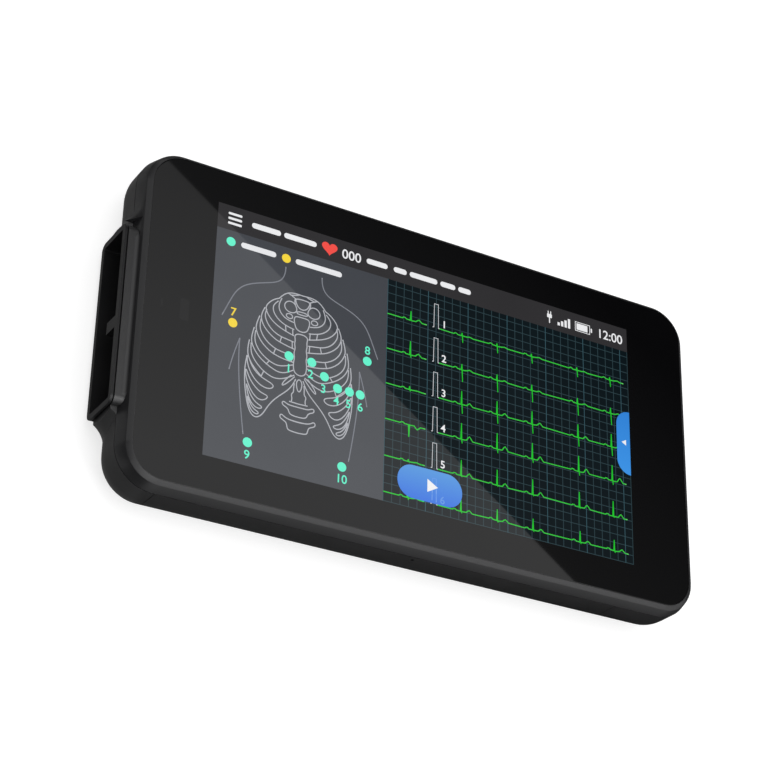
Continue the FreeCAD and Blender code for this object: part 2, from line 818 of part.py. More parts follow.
def power_switch():
    """Side-push switch under the board's tab; its plunger faces the button."""
    body = box(button_x - switch_length / 2, button_x + switch_length / 2,
               switch_top - switch_depth, switch_top, board_low - switch_height, board_low)
    plunger = Part.makeCylinder(plunger_radius, plunger_length + overlap,
                                Vec(button_x, switch_top - overlap, switch_z), Y_AXIS)
    return fuse([body, plunger])


def button_pad():
    """Rubber pad on the back of the button."""
    return box(button_x - pad_half[0], button_x + pad_half[0], button_back - pad_thickness,
               button_back, switch_z - pad_half[1], switch_z + pad_half[1])


def usb_socket():
    shell = usb_body(usb_mouth - usb_length, usb_mouth, 0.0)
    hollow = usb_body(usb_mouth - usb_length + usb_back, usb_mouth + beyond, -usb_wall)
    return shell.cut(hollow)


def usb_tongue():
    back_x = usb_mouth - usb_length + usb_back
    return box(back_x, back_x + tongue_usb_length, usb_y - tongue_usb_width / 2,
               usb_y + tongue_usb_width / 2, usb_z - tongue_usb_height / 2,
               usb_z + tongue_usb_height / 2)


def speaker():
    length, width, height = speaker_size
    body = rounded_slab(length / 2, width / 2, speaker_corner, rear_wall, rear_wall + height,
                        speaker_middle)
    dish = rounded_slab(length / 2 - dish_margin, width / 2 - dish_margin,
                        speaker_corner / 2, rear_wall - beyond, rear_wall + dish_depth,
                        speaker_middle)
    return body.cut(dish)


def microphone():
    start = Vec(mic_x, -inner_half_width, mic_z)
    return Part.makeCylinder(mic_body_radius, mic_body_length, start, Y_AXIS)


def antenna():
    z1 = parting - antenna_drop
    x0 = antenna_x - antenna_length / 2
    return box(x0, x0 + antenna_length, inner_half_width - antenna_thickness, inner_half_width,
               z1 - antenna_width, z1)


def sensor_module():
    return sensor_block(0.0, glass_low)


NODES = {
    "cover_glass": cover_glass,
    "glass_tape": glass_tape,
    "front_bezel": front_bezel,
    "lcd_panel": lcd_panel,
    "backlight_tray": backlight_tray,
    "display_flex": display_flex,
    "mid_frame": mid_frame,
    "main_board": main_board,
    "processor_shield": lambda: shield_can(processor_can, True),
    "ecg_shield": lambda: shield_can(ecg_can, False),
    "board_chips": board_chips,
    "rear_shell": rear_shell,
    "battery_cover": battery_cover,
    "battery_pack": battery_pack,
    "battery_contacts": battery_contacts,
    "port_frame": port_frame,
    "lead_socket": lead_socket,
    "lead_contacts": lead_contacts,
    "power_button": power_button,
    "button_pad": button_pad,
    "power_switch": power_switch,
    "usb_socket": usb_socket,
    "usb_tongue": usb_tongue,
    "speaker": speaker,
    "microphone": microphone,
    "antenna": antenna,
    "sensor_module": sensor_module,
    "shell_seal": shell_seal,
    "shell_screws": shell_screws,
    "board_screws": board_screws,
    "cover_screws": cover_screws,
}

os.makedirs("parts", exist_ok=True)
for node, make in NODES.items():
    shape = make()
    shape.exportStep("parts/" + node + ".step")
    box_now = shape.BoundBox
    print(node, "valid", shape.isValid(), "solids", len(shape.Solids),
          "z %.2f %.2f" % (box_now.ZMin, box_now.ZMax), "volume %.1f" % shape.Volume)
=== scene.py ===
"""Handheld ECG monitor on its back: finishes, screen picture, lamps and camera.

Lengths inside the classes are millimetres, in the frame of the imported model:
+X to the right of the screen, +Y up the screen, +Z out of the glass.
"""

from __future__ import annotations

import json
import logging
import math
from dataclasses import dataclass, field
from enum import Enum
from typing import Iterable, Sequence

import bmesh
import bpy
from mathutils import Matrix, Quaternion, Vector

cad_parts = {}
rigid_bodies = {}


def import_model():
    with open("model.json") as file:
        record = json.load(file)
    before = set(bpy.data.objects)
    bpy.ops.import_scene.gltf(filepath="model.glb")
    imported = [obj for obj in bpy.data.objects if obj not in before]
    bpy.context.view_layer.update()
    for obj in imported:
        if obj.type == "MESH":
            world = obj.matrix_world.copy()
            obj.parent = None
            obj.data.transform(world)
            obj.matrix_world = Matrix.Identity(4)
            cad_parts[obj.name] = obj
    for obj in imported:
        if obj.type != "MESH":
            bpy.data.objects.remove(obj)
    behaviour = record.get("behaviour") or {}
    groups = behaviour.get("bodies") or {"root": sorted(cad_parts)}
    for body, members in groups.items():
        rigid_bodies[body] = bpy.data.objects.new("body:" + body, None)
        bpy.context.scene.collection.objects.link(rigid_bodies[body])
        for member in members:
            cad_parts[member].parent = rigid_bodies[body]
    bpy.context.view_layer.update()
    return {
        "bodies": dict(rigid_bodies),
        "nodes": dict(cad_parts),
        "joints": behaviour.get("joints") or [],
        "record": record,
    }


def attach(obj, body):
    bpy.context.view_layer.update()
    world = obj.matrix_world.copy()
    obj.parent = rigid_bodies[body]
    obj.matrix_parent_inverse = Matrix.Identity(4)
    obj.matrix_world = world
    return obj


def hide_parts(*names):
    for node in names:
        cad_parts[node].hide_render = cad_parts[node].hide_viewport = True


LOG = logging.getLogger("monitor")
MM = 0.001
Colour = tuple[float, float, float]
Point = tuple[float, float]
Line = tuple[Point, ...]
Place = tuple[float, float, float]
Mark = tuple[str, float, float]
Shape = bmesh.types.BMesh
Piece = bpy.types.Object
Material = bpy.types.Material
Socket = bpy.types.NodeSocket

# Sizes that several parts of the lit picture share, in millimetres.
SHEET = 0.01
PICTURE_HALF_LENGTH = 60.85
PICTURE_HALF_WIDTH = 34.0
BAR_FOOT = 27.1
CHART_END = -13.0
WORD_HEIGHT = 1.5

# How much the built-in font's strokes are thickened, in millimetres, and the height of its digits
# as a share of its size.
DIGIT_WEIGHT = 0.035
DIGIT_HEIGHT = 0.7

# Polished glass, and the sockets that the Mix node uses for colours.
GLASS_IOR = 1.45
GLASS_ROUGHNESS = 0.02
GLOSS = 0.5
MIX_COLOURS = (6, 7)
MIX_RESULT = 2


class Body(Enum):
    """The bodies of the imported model."""

    MONITOR = "monitor"
    BUTTON = "button"


# --------------------------------------------------------------------------
# Mesh helpers
# --------------------------------------------------------------------------


def rgb(red: int, green: int, blue: int) -> Colour:
    """Linear colour of an 8-bit screen colour.

    Args:
        red: Red, 0 to 255.
        green: Green.
        blue: Blue.

    Returns:
        The colour, each channel 0 to 1.
    """
    parts = []
    for value in (red, green, blue):
        share = value / 255
        parts.append(share / 12.92 if share <= 0.04045 else ((share + 0.055) / 1.055) ** 2.4)
    return (parts[0], parts[1], parts[2])


def linked(name: str, data: bpy.types.ID) -> Piece:
    """New object in the scene that carries a mesh, curve, camera or lamp.

    Args:
        name: Name of the object.
        data: What it carries.

    Returns:
        The new object.
    """
    piece = bpy.data.objects.new(name, data)
    bpy.context.scene.collection.objects.link(piece)
    return piece


def mesh_from(name: str, shape: Shape) -> bpy.types.Mesh:
    """New mesh of a finished bmesh, which is freed.

    Args:
        name: Name of the mesh.
        shape: The bmesh.

    Returns:
        The new mesh.
    """
    mesh = bpy.data.meshes.new(name)
    shape.to_mesh(mesh)
    shape.free()
    return mesh


def object_from(name: str, shape: Shape) -> Piece:
    """Turns a finished bmesh, in millimetres, into an object in metres.

    Args:
        name: Name of the piece.
        shape: The bmesh, which is freed.

    Returns:
        The new object at the origin.
    """
    bmesh.ops.scale(shape, vec=(MM, MM, MM), verts=shape.verts)
    bmesh.ops.recalc_face_normals(shape, faces=shape.faces)
    return linked(name, mesh_from(name, shape))


def shade(piece: Piece, degrees: float) -> None:
    """Shades a piece smooth, with edges sharper than the angle kept sharp and no stored normals.

    Args:
        piece: The piece.
        degrees: The angle.
    """
    stored = piece.data.attributes.get("custom_normal")
    if stored is not None:
        piece.data.attributes.remove(stored)
    piece.data.shade_smooth()
    piece.data.set_sharp_from_angle(angle=math.radians(degrees))


def round_off(shape: Shape, geom: list, offset: float, steps: int, affect: str) -> None:
    """Rounds the given corners or edges with a circular bevel.

    Args:
        shape: The bmesh.
        geom: The corners or edges.
        offset: Radius, near enough.
        steps: Segments of the bevel.
        affect: VERTICES or EDGES.
    """
    bmesh.ops.bevel(
        shape,
        geom=geom,
        offset=offset,
        offset_type="OFFSET",
        segments=steps,
        profile=0.5,
        affect=affect,
        material=-1,
    )


def rounded_face(
    shape: Shape,
    half_x: float,
    half_y: float,
    radius: float,
    z: float,
    middle: Point = (0.0, 0.0),
    steps: int = 12,
) -> bmesh.types.BMFace:
    """Adds a flat rounded rectangle.

    Args:
        shape: The bmesh that gets the face.
        half_x: Half of its length.
        half_y: Half of its width.
        radius: Radius of its corners.
        z: Its height.
        middle: Its middle in plan.
        steps: Segments round each corner.

    Returns:
        The face.
    """
    before = set(shape.verts)
    bmesh.ops.create_grid(shape, x_segments=1, y_segments=1, size=1.0)
    corners = [vert for vert in shape.verts if vert not in before]
    bmesh.ops.scale(shape, vec=(half_x, half_y, 1.0), verts=corners)
    bmesh.ops.translate(shape, vec=(middle[0], middle[1], z), verts=corners)
    if radius > 0.0:
        round_off(shape, corners, radius, steps, "VERTICES")
    made = [vert for vert in shape.verts if vert not in before]
    return next(face for face in shape.faces if all(vert in made for vert in face.verts))


def raise_face(shape: Shape, face: bmesh.types.BMFace, height: float = SHEET) -> None:
    """Extrudes a flat face upwards into a slab and keeps its underside.

    Args:
        shape: The bmesh.
        face: The face at the foot of the slab.
        height: Height of the slab.
    """
    grown = bmesh.ops.extrude_face_region(shape, geom=[face], use_keep_orig=True)
    verts = [item for item in grown["geom"] if isinstance(item, bmesh.types.BMVert)]
    bmesh.ops.translate(shape, vec=(0.0, 0.0, height), verts=verts)


def slab(
    half_x: float,
    half_y: float,
    radius: float,
    z0: float,
    z1: float,
    middle: Point = (0.0, 0.0),
    steps: int = 12,
) -> Shape:
    """Rounded slab as a new bmesh, with the sizes of rounded_face and its two heights.

    Args:
        half_x: Half of its length.
        half_y: Half of its width.
        radius: Radius of its corners.
        z0: Height of its underside.
        z1: Height of its top.
        middle: Its middle in plan.
        steps: Segments round each corner.

    Returns:
        The bmesh.
    """
    shape = bmesh.new()
    face = rounded_face(shape, half_x, half_y, radius, z0, middle, steps)
    raise_face(shape, face, z1 - z0)
    return shape


def add_disc(
    shape: Shape, place: Matrix, radius: float, depth: float = SHEET, steps: int = 32
) -> None:
    """Adds a closed disc, or a flat polygon where the steps are few.

    Args:
        shape: The bmesh that gets it.
        place: Where its middle lies and how it is turned.
        radius: Its radius.
        depth: Its thickness.
        steps: Number of its sides.
    """
    bmesh.ops.create_cone(
        shape,
        cap_ends=True,
        segments=steps,
        radius1=radius,
        radius2=radius,
        depth=depth,
        matrix=place,
    )


def merged_copy(frame: dict, node: str, name: str) -> Piece:
    """Copies a node's mesh and merges its loose triangles into one skin.

    Args:
        frame: The loaded frame.
        node: Name of the node.
        name: Name of the new piece.

    Returns:
        The new object, with the node's own shape.
    """
    shape = bmesh.new()
    shape.from_mesh(frame["nodes"][node].data)
    bmesh.ops.remove_doubles(shape, verts=shape.verts, dist=2e-6)
    bmesh.ops.dissolve_degenerate(shape, dist=1e-7, edges=shape.edges)
    piece = linked(name, mesh_from(name, shape))
    shade(piece, 28.0)
    return piece


def strokes(
    name: str,
    lines: Sequence[Sequence[Point]],
    width: float,
    z: float,
    smooth: bool = False,
    closed: bool = False,
) -> Piece:
    """Draws lines of one width as a thin flat mesh.

    Args:
        name: Name of the piece.
        lines: The lines' points.
        width: Width of the lines.
        z: Height of their middle.
        smooth: Whether the points are joined by a smooth curve.
        closed: Whether each line ends where it starts.

    Returns:
        The new object.
    """
    curve = bpy.data.curves.new(name, "CURVE")
    curve.dimensions = "3D"
    curve.bevel_depth = width / 2
    curve.bevel_resolution = 1
    curve.resolution_u = 6
    curve.use_fill_caps = True
    for line in lines:
        spline = curve.splines.new("NURBS" if smooth else "POLY")
        spline.points.add(len(line) - 1)
        for point, (x, y) in zip(spline.points, line):
            point.co = (x, y, 0.0, 1.0)
        if smooth:
            spline.order_u = min(4, len(line))
            spline.use_endpoint_u = not closed
        spline.use_cyclic_u = closed
    return object_from(name, flattened(curve, z, SHEET / width))


def flattened(curve: bpy.types.Curve, z: float, squeeze: float = 1.0) -> Shape:
    """Turns a curve or text into a bmesh, presses it flat and puts it at a height.

    Args:
        curve: The curve or text, which is removed.
        z: Height of its middle.
        squeeze: Factor on its own height.

    Returns:
        The bmesh, in millimetres.
    """
    carrier = linked(curve.name + "_curve", curve)
    bpy.context.view_layer.update()
    graph = bpy.context.evaluated_depsgraph_get()
    mesh = bpy.data.meshes.new_from_object(carrier.evaluated_get(graph))
    bpy.data.objects.remove(carrier)
    bpy.data.curves.remove(curve)
    shape = bmesh.new()
    shape.from_mesh(mesh)
    bmesh.ops.remove_doubles(shape, verts=shape.verts, dist=1e-4)
    bmesh.ops.scale(shape, vec=(1.0, 1.0, squeeze), verts=shape.verts)
    bmesh.ops.translate(shape, vec=(0.0, 0.0, z), verts=shape.verts)
    bpy.data.meshes.remove(mesh)
    return shape


def digits(name: str, marks: Iterable[Mark], height: float, z: float) -> Piece:
    """Writes plain numbers as one thin flat mesh.

    Args:
        name: Name of the piece.
        marks: Each number with its left end and its foot.
        height: Height of a digit.
        z: Height of the mesh's middle.

    Returns:
        The new object.
    """
    whole = bmesh.new()
    for text, x, y in marks:
        curve = bpy.data.curves.new(name + "_mark", "FONT")
        curve.body = text
        curve.size = height / DIGIT_HEIGHT
        curve.extrude = SHEET / 2
        curve.offset = DIGIT_WEIGHT
        mark = flattened(curve, z)
        bmesh.ops.translate(mark, vec=(x, y, 0.0), verts=mark.verts)
        mesh = mesh_from(name + "_mark", mark)
        whole.from_mesh(mesh)
        bpy.data.meshes.remove(mesh)
    return object_from(name, whole)


# --------------------------------------------------------------------------
# Finishes
# --------------------------------------------------------------------------


def scaled(colour: Colour, factor: float) -> Colour:
    """The colour with each channel times the factor."""
    return (colour[0] * factor, colour[1] * factor, colour[2] * factor)


class Recipe:
    """Builds one node material whose patterns read Object coordinates."""

    def __init__(
        self, name: str, roughness: float, specular: float = GLOSS, metallic: float = 0.0
    ) -> None:
        """Starts the material with its shader.

        Args:
            name: Name of the material.
            roughness: Roughness where nothing varies it.
            specular: The shader's IOR level of dielectric gloss.
            metallic: 1 for a metal.
        """
        self.material = bpy.data.materials.new(name)
        self.material.use_nodes = True
        self.nodes = self.material.node_tree.nodes
        self.links = self.material.node_tree.links
        self.shader = self.nodes["Principled BSDF"]
        self.shader.inputs["Roughness"].default_value = roughness
        self.shader.inputs["Specular IOR Level"].default_value = specular
        self.shader.inputs["Metallic"].default_value = metallic
        self.place = self.nodes.new("ShaderNodeTexCoord").outputs["Object"]

    def glow(self, ior: float = GLASS_IOR) -> None:
        """Makes the surface black glass that glows at full strength, in a colour fed in later.

        Args:
            ior: Index of refraction of the glass.
        """
        self.shader.inputs["IOR"].default_value = ior
        self.shader.inputs["Base Color"].default_value = (0.0, 0.0, 0.0, 1.0)
        self.shader.inputs["Emission Strength"].default_value = 1.0

    def noise(self, size: float, detail: float = 2.0, stretch: Place | None = None) -> Socket:
        """Noise whose features are about size millimetres across, drawn out by stretch.

        Args:
            size: Size of the features.
            detail: Layers of finer noise.
            stretch: Factors on the three coordinates, if any.

        Returns:
            The noise, 0 to 1.
        """
        node = self.nodes.new("ShaderNodeTexNoise")
        node.inputs["Scale"].default_value = 1.0 / (size * MM)
        node.inputs["Detail"].default_value = detail
        source = self.place
        if stretch is not None:
            turn = self.nodes.new("ShaderNodeMapping")
            turn.inputs["Scale"].default_value = stretch
            self.links.new(self.place, turn.inputs["Vector"])
            source = turn.outputs["Vector"]
        self.links.new(source, node.inputs["Vector"])
        return node.outputs["Fac"]

    def cells(self, size: float) -> Socket:
        """Distance to the middle of cells about size millimetres across.

        Args:
            size: Size of the cells.

        Returns:
            The distance, in cells.
        """
        node = self.nodes.new("ShaderNodeTexVoronoi")
        node.inputs["Scale"].default_value = 1.0 / (size * MM)
        self.links.new(self.place, node.inputs["Vector"])
        return node.outputs["Distance"]

    def spread(
        self,
        source: Socket,
        low: float = 0.0,
        high: float = 1.0,
        start: float = 0.3,
        end: float = 0.7,
    ) -> Socket:
        """Maps a pattern's values from start..end to low..high.

        Args:
            source: The pattern.
            low: Result at start.
            high: Result at end.
            start: Value of the pattern where the change starts.
            end: Value where it ends.

        Returns:
            The new pattern.
        """
        node = self.nodes.new("ShaderNodeMapRange")
        node.inputs["From Min"].default_value = start
        node.inputs["From Max"].default_value = end
        node.inputs["To Min"].default_value = low
        node.inputs["To Max"].default_value = high
        self.links.new(source, node.inputs["Value"])
        return node.outputs["Result"]

    def maths(self, operation: str, first: Socket, second: Socket | float) -> Socket:
        """Result of one sum on one or two patterns.

        Args:
            operation: Name of the sum, as the Math node has it.
            first: The first pattern.
            second: The second pattern, or a number.

        Returns:
            The result.
        """
        node = self.nodes.new("ShaderNodeMath")
        node.operation = operation
        self.links.new(first, node.inputs[0])
        if isinstance(second, (int, float)):
            node.inputs[1].default_value = second
        else:
            self.links.new(second, node.inputs[1])
        return node.outputs["Value"]

    def axes(self) -> tuple[Socket, Socket, Socket]:
        """The three Object coordinates, in metres.

        Returns:
            X, Y and Z.
        """
        node = self.nodes.new("ShaderNodeSeparateXYZ")
        self.links.new(self.place, node.inputs["Vector"])
        return node.outputs["X"], node.outputs["Y"], node.outputs["Z"]

    def ruled(self, axis: Socket, pitch: float, width: float, start: float = 0.0) -> Socket:
        """1 on thin lines across an axis, 0 between them.

        Args:
            axis: The coordinate across the lines, in metres.
            pitch: Distance between lines in millimetres.
            width: Width of a line in millimetres.
            start: Where the middle of one line lies, in millimetres.

        Returns:
            The mask.
        """
        moved = self.maths("SUBTRACT", axis, (start - width / 2) * MM)
        count = self.maths("MULTIPLY", moved, 1.0 / (pitch * MM))
        share = self.maths("FRACT", count, 0.0)
        return self.maths("LESS_THAN", share, width / pitch)

    def mix(
        self,
        share: Socket,
        first: Colour | Socket,
        second: Colour | Socket,
    ) -> Socket:
        """Colour that goes from first to second by a pattern.

        Args:
            share: The pattern, 0 for the first colour and 1 for the second.
            first: The first colour.
            second: The second colour.

        Returns:
            The mixed colour.
        """
        node = self.nodes.new("ShaderNodeMix")
        node.data_type = "RGBA"
        self.links.new(share, node.inputs["Factor"])
        for index, colour in zip(MIX_COLOURS, (first, second)):
            if isinstance(colour, tuple):
                node.inputs[index].default_value = (*colour, 1.0)
            else:
                self.links.new(colour, node.inputs[index])
        return node.outputs[MIX_RESULT]

    def bump(self, height: Socket, depth: float, strength: float) -> None:
        """Raises a pattern by depth millimetres in the shader's normal.

        Args:
            height: The pattern.
            depth: Height of its relief.
            strength: Share of the relief that shows.
        """
        node = self.nodes.new("ShaderNodeBump")
        node.inputs["Distance"].default_value = depth * MM
        node.inputs["Strength"].default_value = strength
        self.links.new(height, node.inputs["Height"])
        self.links.new(node.outputs["Normal"], self.shader.inputs["Normal"])

    def feed(self, name: str, source: Socket) -> None:
        """Leads a pattern to one of the shader's inputs."""
        self.links.new(source, self.shader.inputs[name])


@dataclass(frozen=True)
class Finish:
    """A named look, made into a material when the first piece is dressed in it."""

    name: str

    def build(self) -> Material:
        """Makes the material."""
        raise NotImplementedError


@dataclass(frozen=True)
class MouldedPlastic(Finish):
    """Opaque moulded plastic with a spark-eroded grain and faint handling marks."""

    colour: Colour
    lighter: Colour
    roughness: Point
    specular: float
    grain: float
    grain_depth: float
    strength: float
    mark_size: float = 9.0
    grain_share: float = 0.35

    def build(self) -> Material:
        """Makes the material.

        Returns:
            The material.
        """
        recipe = Recipe(self.name, self.roughness[0], self.specular)
        grain = recipe.noise(self.grain, 3.0)
        marks = recipe.noise(self.mark_size, 4.0)
        recipe.feed("Base Color", recipe.mix(recipe.spread(grain), self.colour, self.lighter))
        fine = recipe.maths("MULTIPLY", grain, self.grain_share)
        wide = recipe.maths("MULTIPLY", marks, 1.0 - self.grain_share)
        recipe.feed("Roughness", recipe.spread(recipe.maths("ADD", fine, wide), *self.roughness))
        recipe.bump(grain, self.grain_depth, self.strength)
        return recipe.material


@dataclass(frozen=True)
class BrushedMetal(Finish):
    """Metal sheet or plating with drawn-out fine scratches and a little tarnish."""

    colour: Colour
    darker: Colour
    roughness: Point
    stretch: Place
    scratch_size: float = 0.12
    scratch_depth: float = 0.004
    strength: float = 0.35
    tarnish_size: float = 4.0

    def build(self) -> Material:
        """Makes the material.

        Returns:
            The material.
        """
        recipe = Recipe(self.name, self.roughness[0], metallic=1.0)
        lines = recipe.noise(self.scratch_size, 3.0, self.stretch)
        tarnish = recipe.noise(self.tarnish_size, 4.0)
        recipe.feed("Base Color", recipe.mix(recipe.spread(tarnish), self.colour, self.darker))
        recipe.feed("Roughness", recipe.spread(lines, *self.roughness))
        recipe.bump(lines, self.scratch_depth, self.strength)
        return recipe.material


@dataclass(frozen=True)
class SolderMask(Finish):
    """Circuit board: lacquer over copper tracks that change direction, with bare tinned dots."""

    mask: Colour
    track: Colour
    tin: Colour
    roughness: float = 0.32
    across: Place = (1.27, 0.35, 0.0)
    along: Place = (2.54, 0.30, 0.4)
    region_size: float = 11.0
    region_edge: Point = (0.49, 0.51)
    dot_pitch: float = 2.2
    dot_radius: float = 0.13
    relief: Point = (0.03, 0.6)

    def build(self) -> Material:
        """Makes the material.

        Returns:
            The material.
        """
        recipe = Recipe(self.name, self.roughness)
        x, y, _ = recipe.axes()
        across = recipe.ruled(y, *self.across)
        along = recipe.ruled(x, *self.along)
        regions = recipe.spread(recipe.noise(self.region_size, 1.0), 0.0, 1.0, *self.region_edge)
        turned = recipe.maths("SUBTRACT", recipe.maths("ADD", regions, along), 1.0)
        tracks = recipe.maths("MAXIMUM", recipe.maths("SUBTRACT", across, regions), turned)
        lacquer = recipe.mix(recipe.maths("MAXIMUM", tracks, 0.0), self.mask, self.track)
        dots = recipe.maths("LESS_THAN", recipe.cells(self.dot_pitch), self.dot_radius)
        recipe.feed("Base Color", recipe.mix(dots, lacquer, self.tin))
        recipe.feed("Metallic", dots)
        recipe.bump(recipe.maths("MAXIMUM", tracks, dots), *self.relief)
        return recipe.material


@dataclass(frozen=True)
class LacqueredGlass(Finish):
    """Glass with an opaque print behind it, so only its polish and a trace of dust show."""

    colour: Colour
    smear_size: float = 24.0
    polish: Point = (0.012, 0.035)
    dust_size: float = 0.7
    dust_from: Point = (0.62, 0.8)
    dust_lift: float = 1.6

    def build(self) -> Material:
        """Makes the material.

        Returns:
            The material.
        """
        recipe = Recipe(self.name, GLASS_ROUGHNESS)
        recipe.shader.inputs["IOR"].default_value = GLASS_IOR
        smears = recipe.noise(self.smear_size, 5.0)
        recipe.feed("Roughness", recipe.spread(smears, *self.polish))
        dust = recipe.spread(recipe.noise(self.dust_size), 0.0, 1.0, *self.dust_from)
        lifted = scaled(self.colour, self.dust_lift)
        recipe.feed("Base Color", recipe.mix(dust, self.colour, lifted))
        return recipe.material


@dataclass(frozen=True)
class LitPixels(Finish):
    """Glowing part of the picture, with fine rows of pixels, under the glass's polish."""

    colour: Colour
    far_colour: Colour | None = None
    ior: float = GLASS_IOR
    pixel: float = 0.095
    seam: float = 0.018
    seam_tone: float = 0.8
    patch_size: float = 16.0
    patch_tone: float = 0.94

    def build(self) -> Material:
        """Makes the material.

        Returns:
            The material.
        """
        recipe = Recipe(self.name, GLASS_ROUGHNESS)
        recipe.glow(self.ior)
        x, y, _ = recipe.axes()
        columns = recipe.ruled(x, self.pixel, self.seam)
        seams = recipe.maths("MAXIMUM", columns, recipe.ruled(y, self.pixel, self.seam))
        far = self.far_colour or scaled(self.colour, self.patch_tone)
        wide = recipe.mix(recipe.spread(recipe.noise(self.patch_size, 1.0)), self.colour, far)
        recipe.feed("Emission Color", recipe.mix(seams, wide, scaled(self.colour, self.seam_tone)))
        return recipe.material


@dataclass(frozen=True)
class LitFade(Finish):
    """Glowing sign whose colour changes up the picture, under the glass's polish."""

    low_colour: Colour
    high_colour: Colour
    span: Point

    def build(self) -> Material:
        """Makes the material.

        Returns:
            The material.
        """
        recipe = Recipe(self.name, GLASS_ROUGHNESS)
        recipe.glow()
        _, y, _ = recipe.axes()
        rise = recipe.spread(y, 0.0, 1.0, self.span[0] * MM, self.span[1] * MM)
        recipe.feed("Emission Color", recipe.mix(rise, self.low_colour, self.high_colour))
        return recipe.material


@dataclass(frozen=True)
class LitGrid(Finish):
    """Glowing measuring grid behind the heart traces, under the glass's polish."""

    ground: Colour
    fine: Colour
    bold: Colour
    pitch: float
    line: float
    start: Point
    bold_step: int = 5
    patch_size: float = 20.0
    patch_tone: float = 0.85

    def build(self) -> Material:
        """Makes the material.

        Returns:
            The material.
        """
        recipe = Recipe(self.name, GLASS_ROUGHNESS)
        recipe.glow()
        x, y, _ = recipe.axes()
        fine = recipe.maths(
            "MAXIMUM",
            recipe.ruled(x, self.pitch, self.line, self.start[0]),
            recipe.ruled(y, self.pitch, self.line, self.start[1]),
        )
        bold = recipe.ruled(x, self.pitch * self.bold_step, self.line, self.start[0])
        patches = recipe.spread(recipe.noise(self.patch_size, 1.0))
        ground = recipe.mix(patches, self.ground, scaled(self.ground, self.patch_tone))
        lines = recipe.mix(bold, self.fine, self.bold)
        mask = recipe.maths("MAXIMUM", fine, bold)
        recipe.feed("Emission Color", recipe.mix(mask, ground, lines))
        return recipe.material


# --------------------------------------------------------------------------
# Sub-assemblies
# --------------------------------------------------------------------------


@dataclass
class Bench:
    """The loaded frame, and the pieces made so far."""

    frame: dict
    made: list[Piece] = field(default_factory=list)
    finishes: dict[str, Material] = field(default_factory=dict)

    def material(self, finish: Finish) -> Material:
        """Builds a finish once and hands out the same material afterwards.

        Args:
            finish: The finish.

        Returns:
            The material.
        """
        if finish.name not in self.finishes:
            self.finishes[finish.name] = finish.build()
        return self.finishes[finish.name]

    def fit(
        self,
        piece: Piece,
        finish: Finish,
        body: Body = Body.MONITOR,
        replaced: Iterable[str] = (),
    ) -> None:
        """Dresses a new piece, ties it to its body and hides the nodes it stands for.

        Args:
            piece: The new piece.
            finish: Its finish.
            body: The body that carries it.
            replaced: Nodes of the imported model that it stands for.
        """
        piece.data.materials.clear()
        piece.data.materials.append(self.material(finish))
        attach(piece, body.value)
        if replaced:
            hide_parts(*replaced)
        self.made.append(piece)
        LOG.info("made %s", piece.name)

    def dress(self, node: str, finish: Finish) -> None:
        """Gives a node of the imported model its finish.

        Args:
            node: Name of the node.
            finish: Its finish.
        """
        part = self.frame["nodes"][node]
        part.data.materials.clear()
        part.data.materials.append(self.material(finish))
        LOG.info("dressed %s", node)


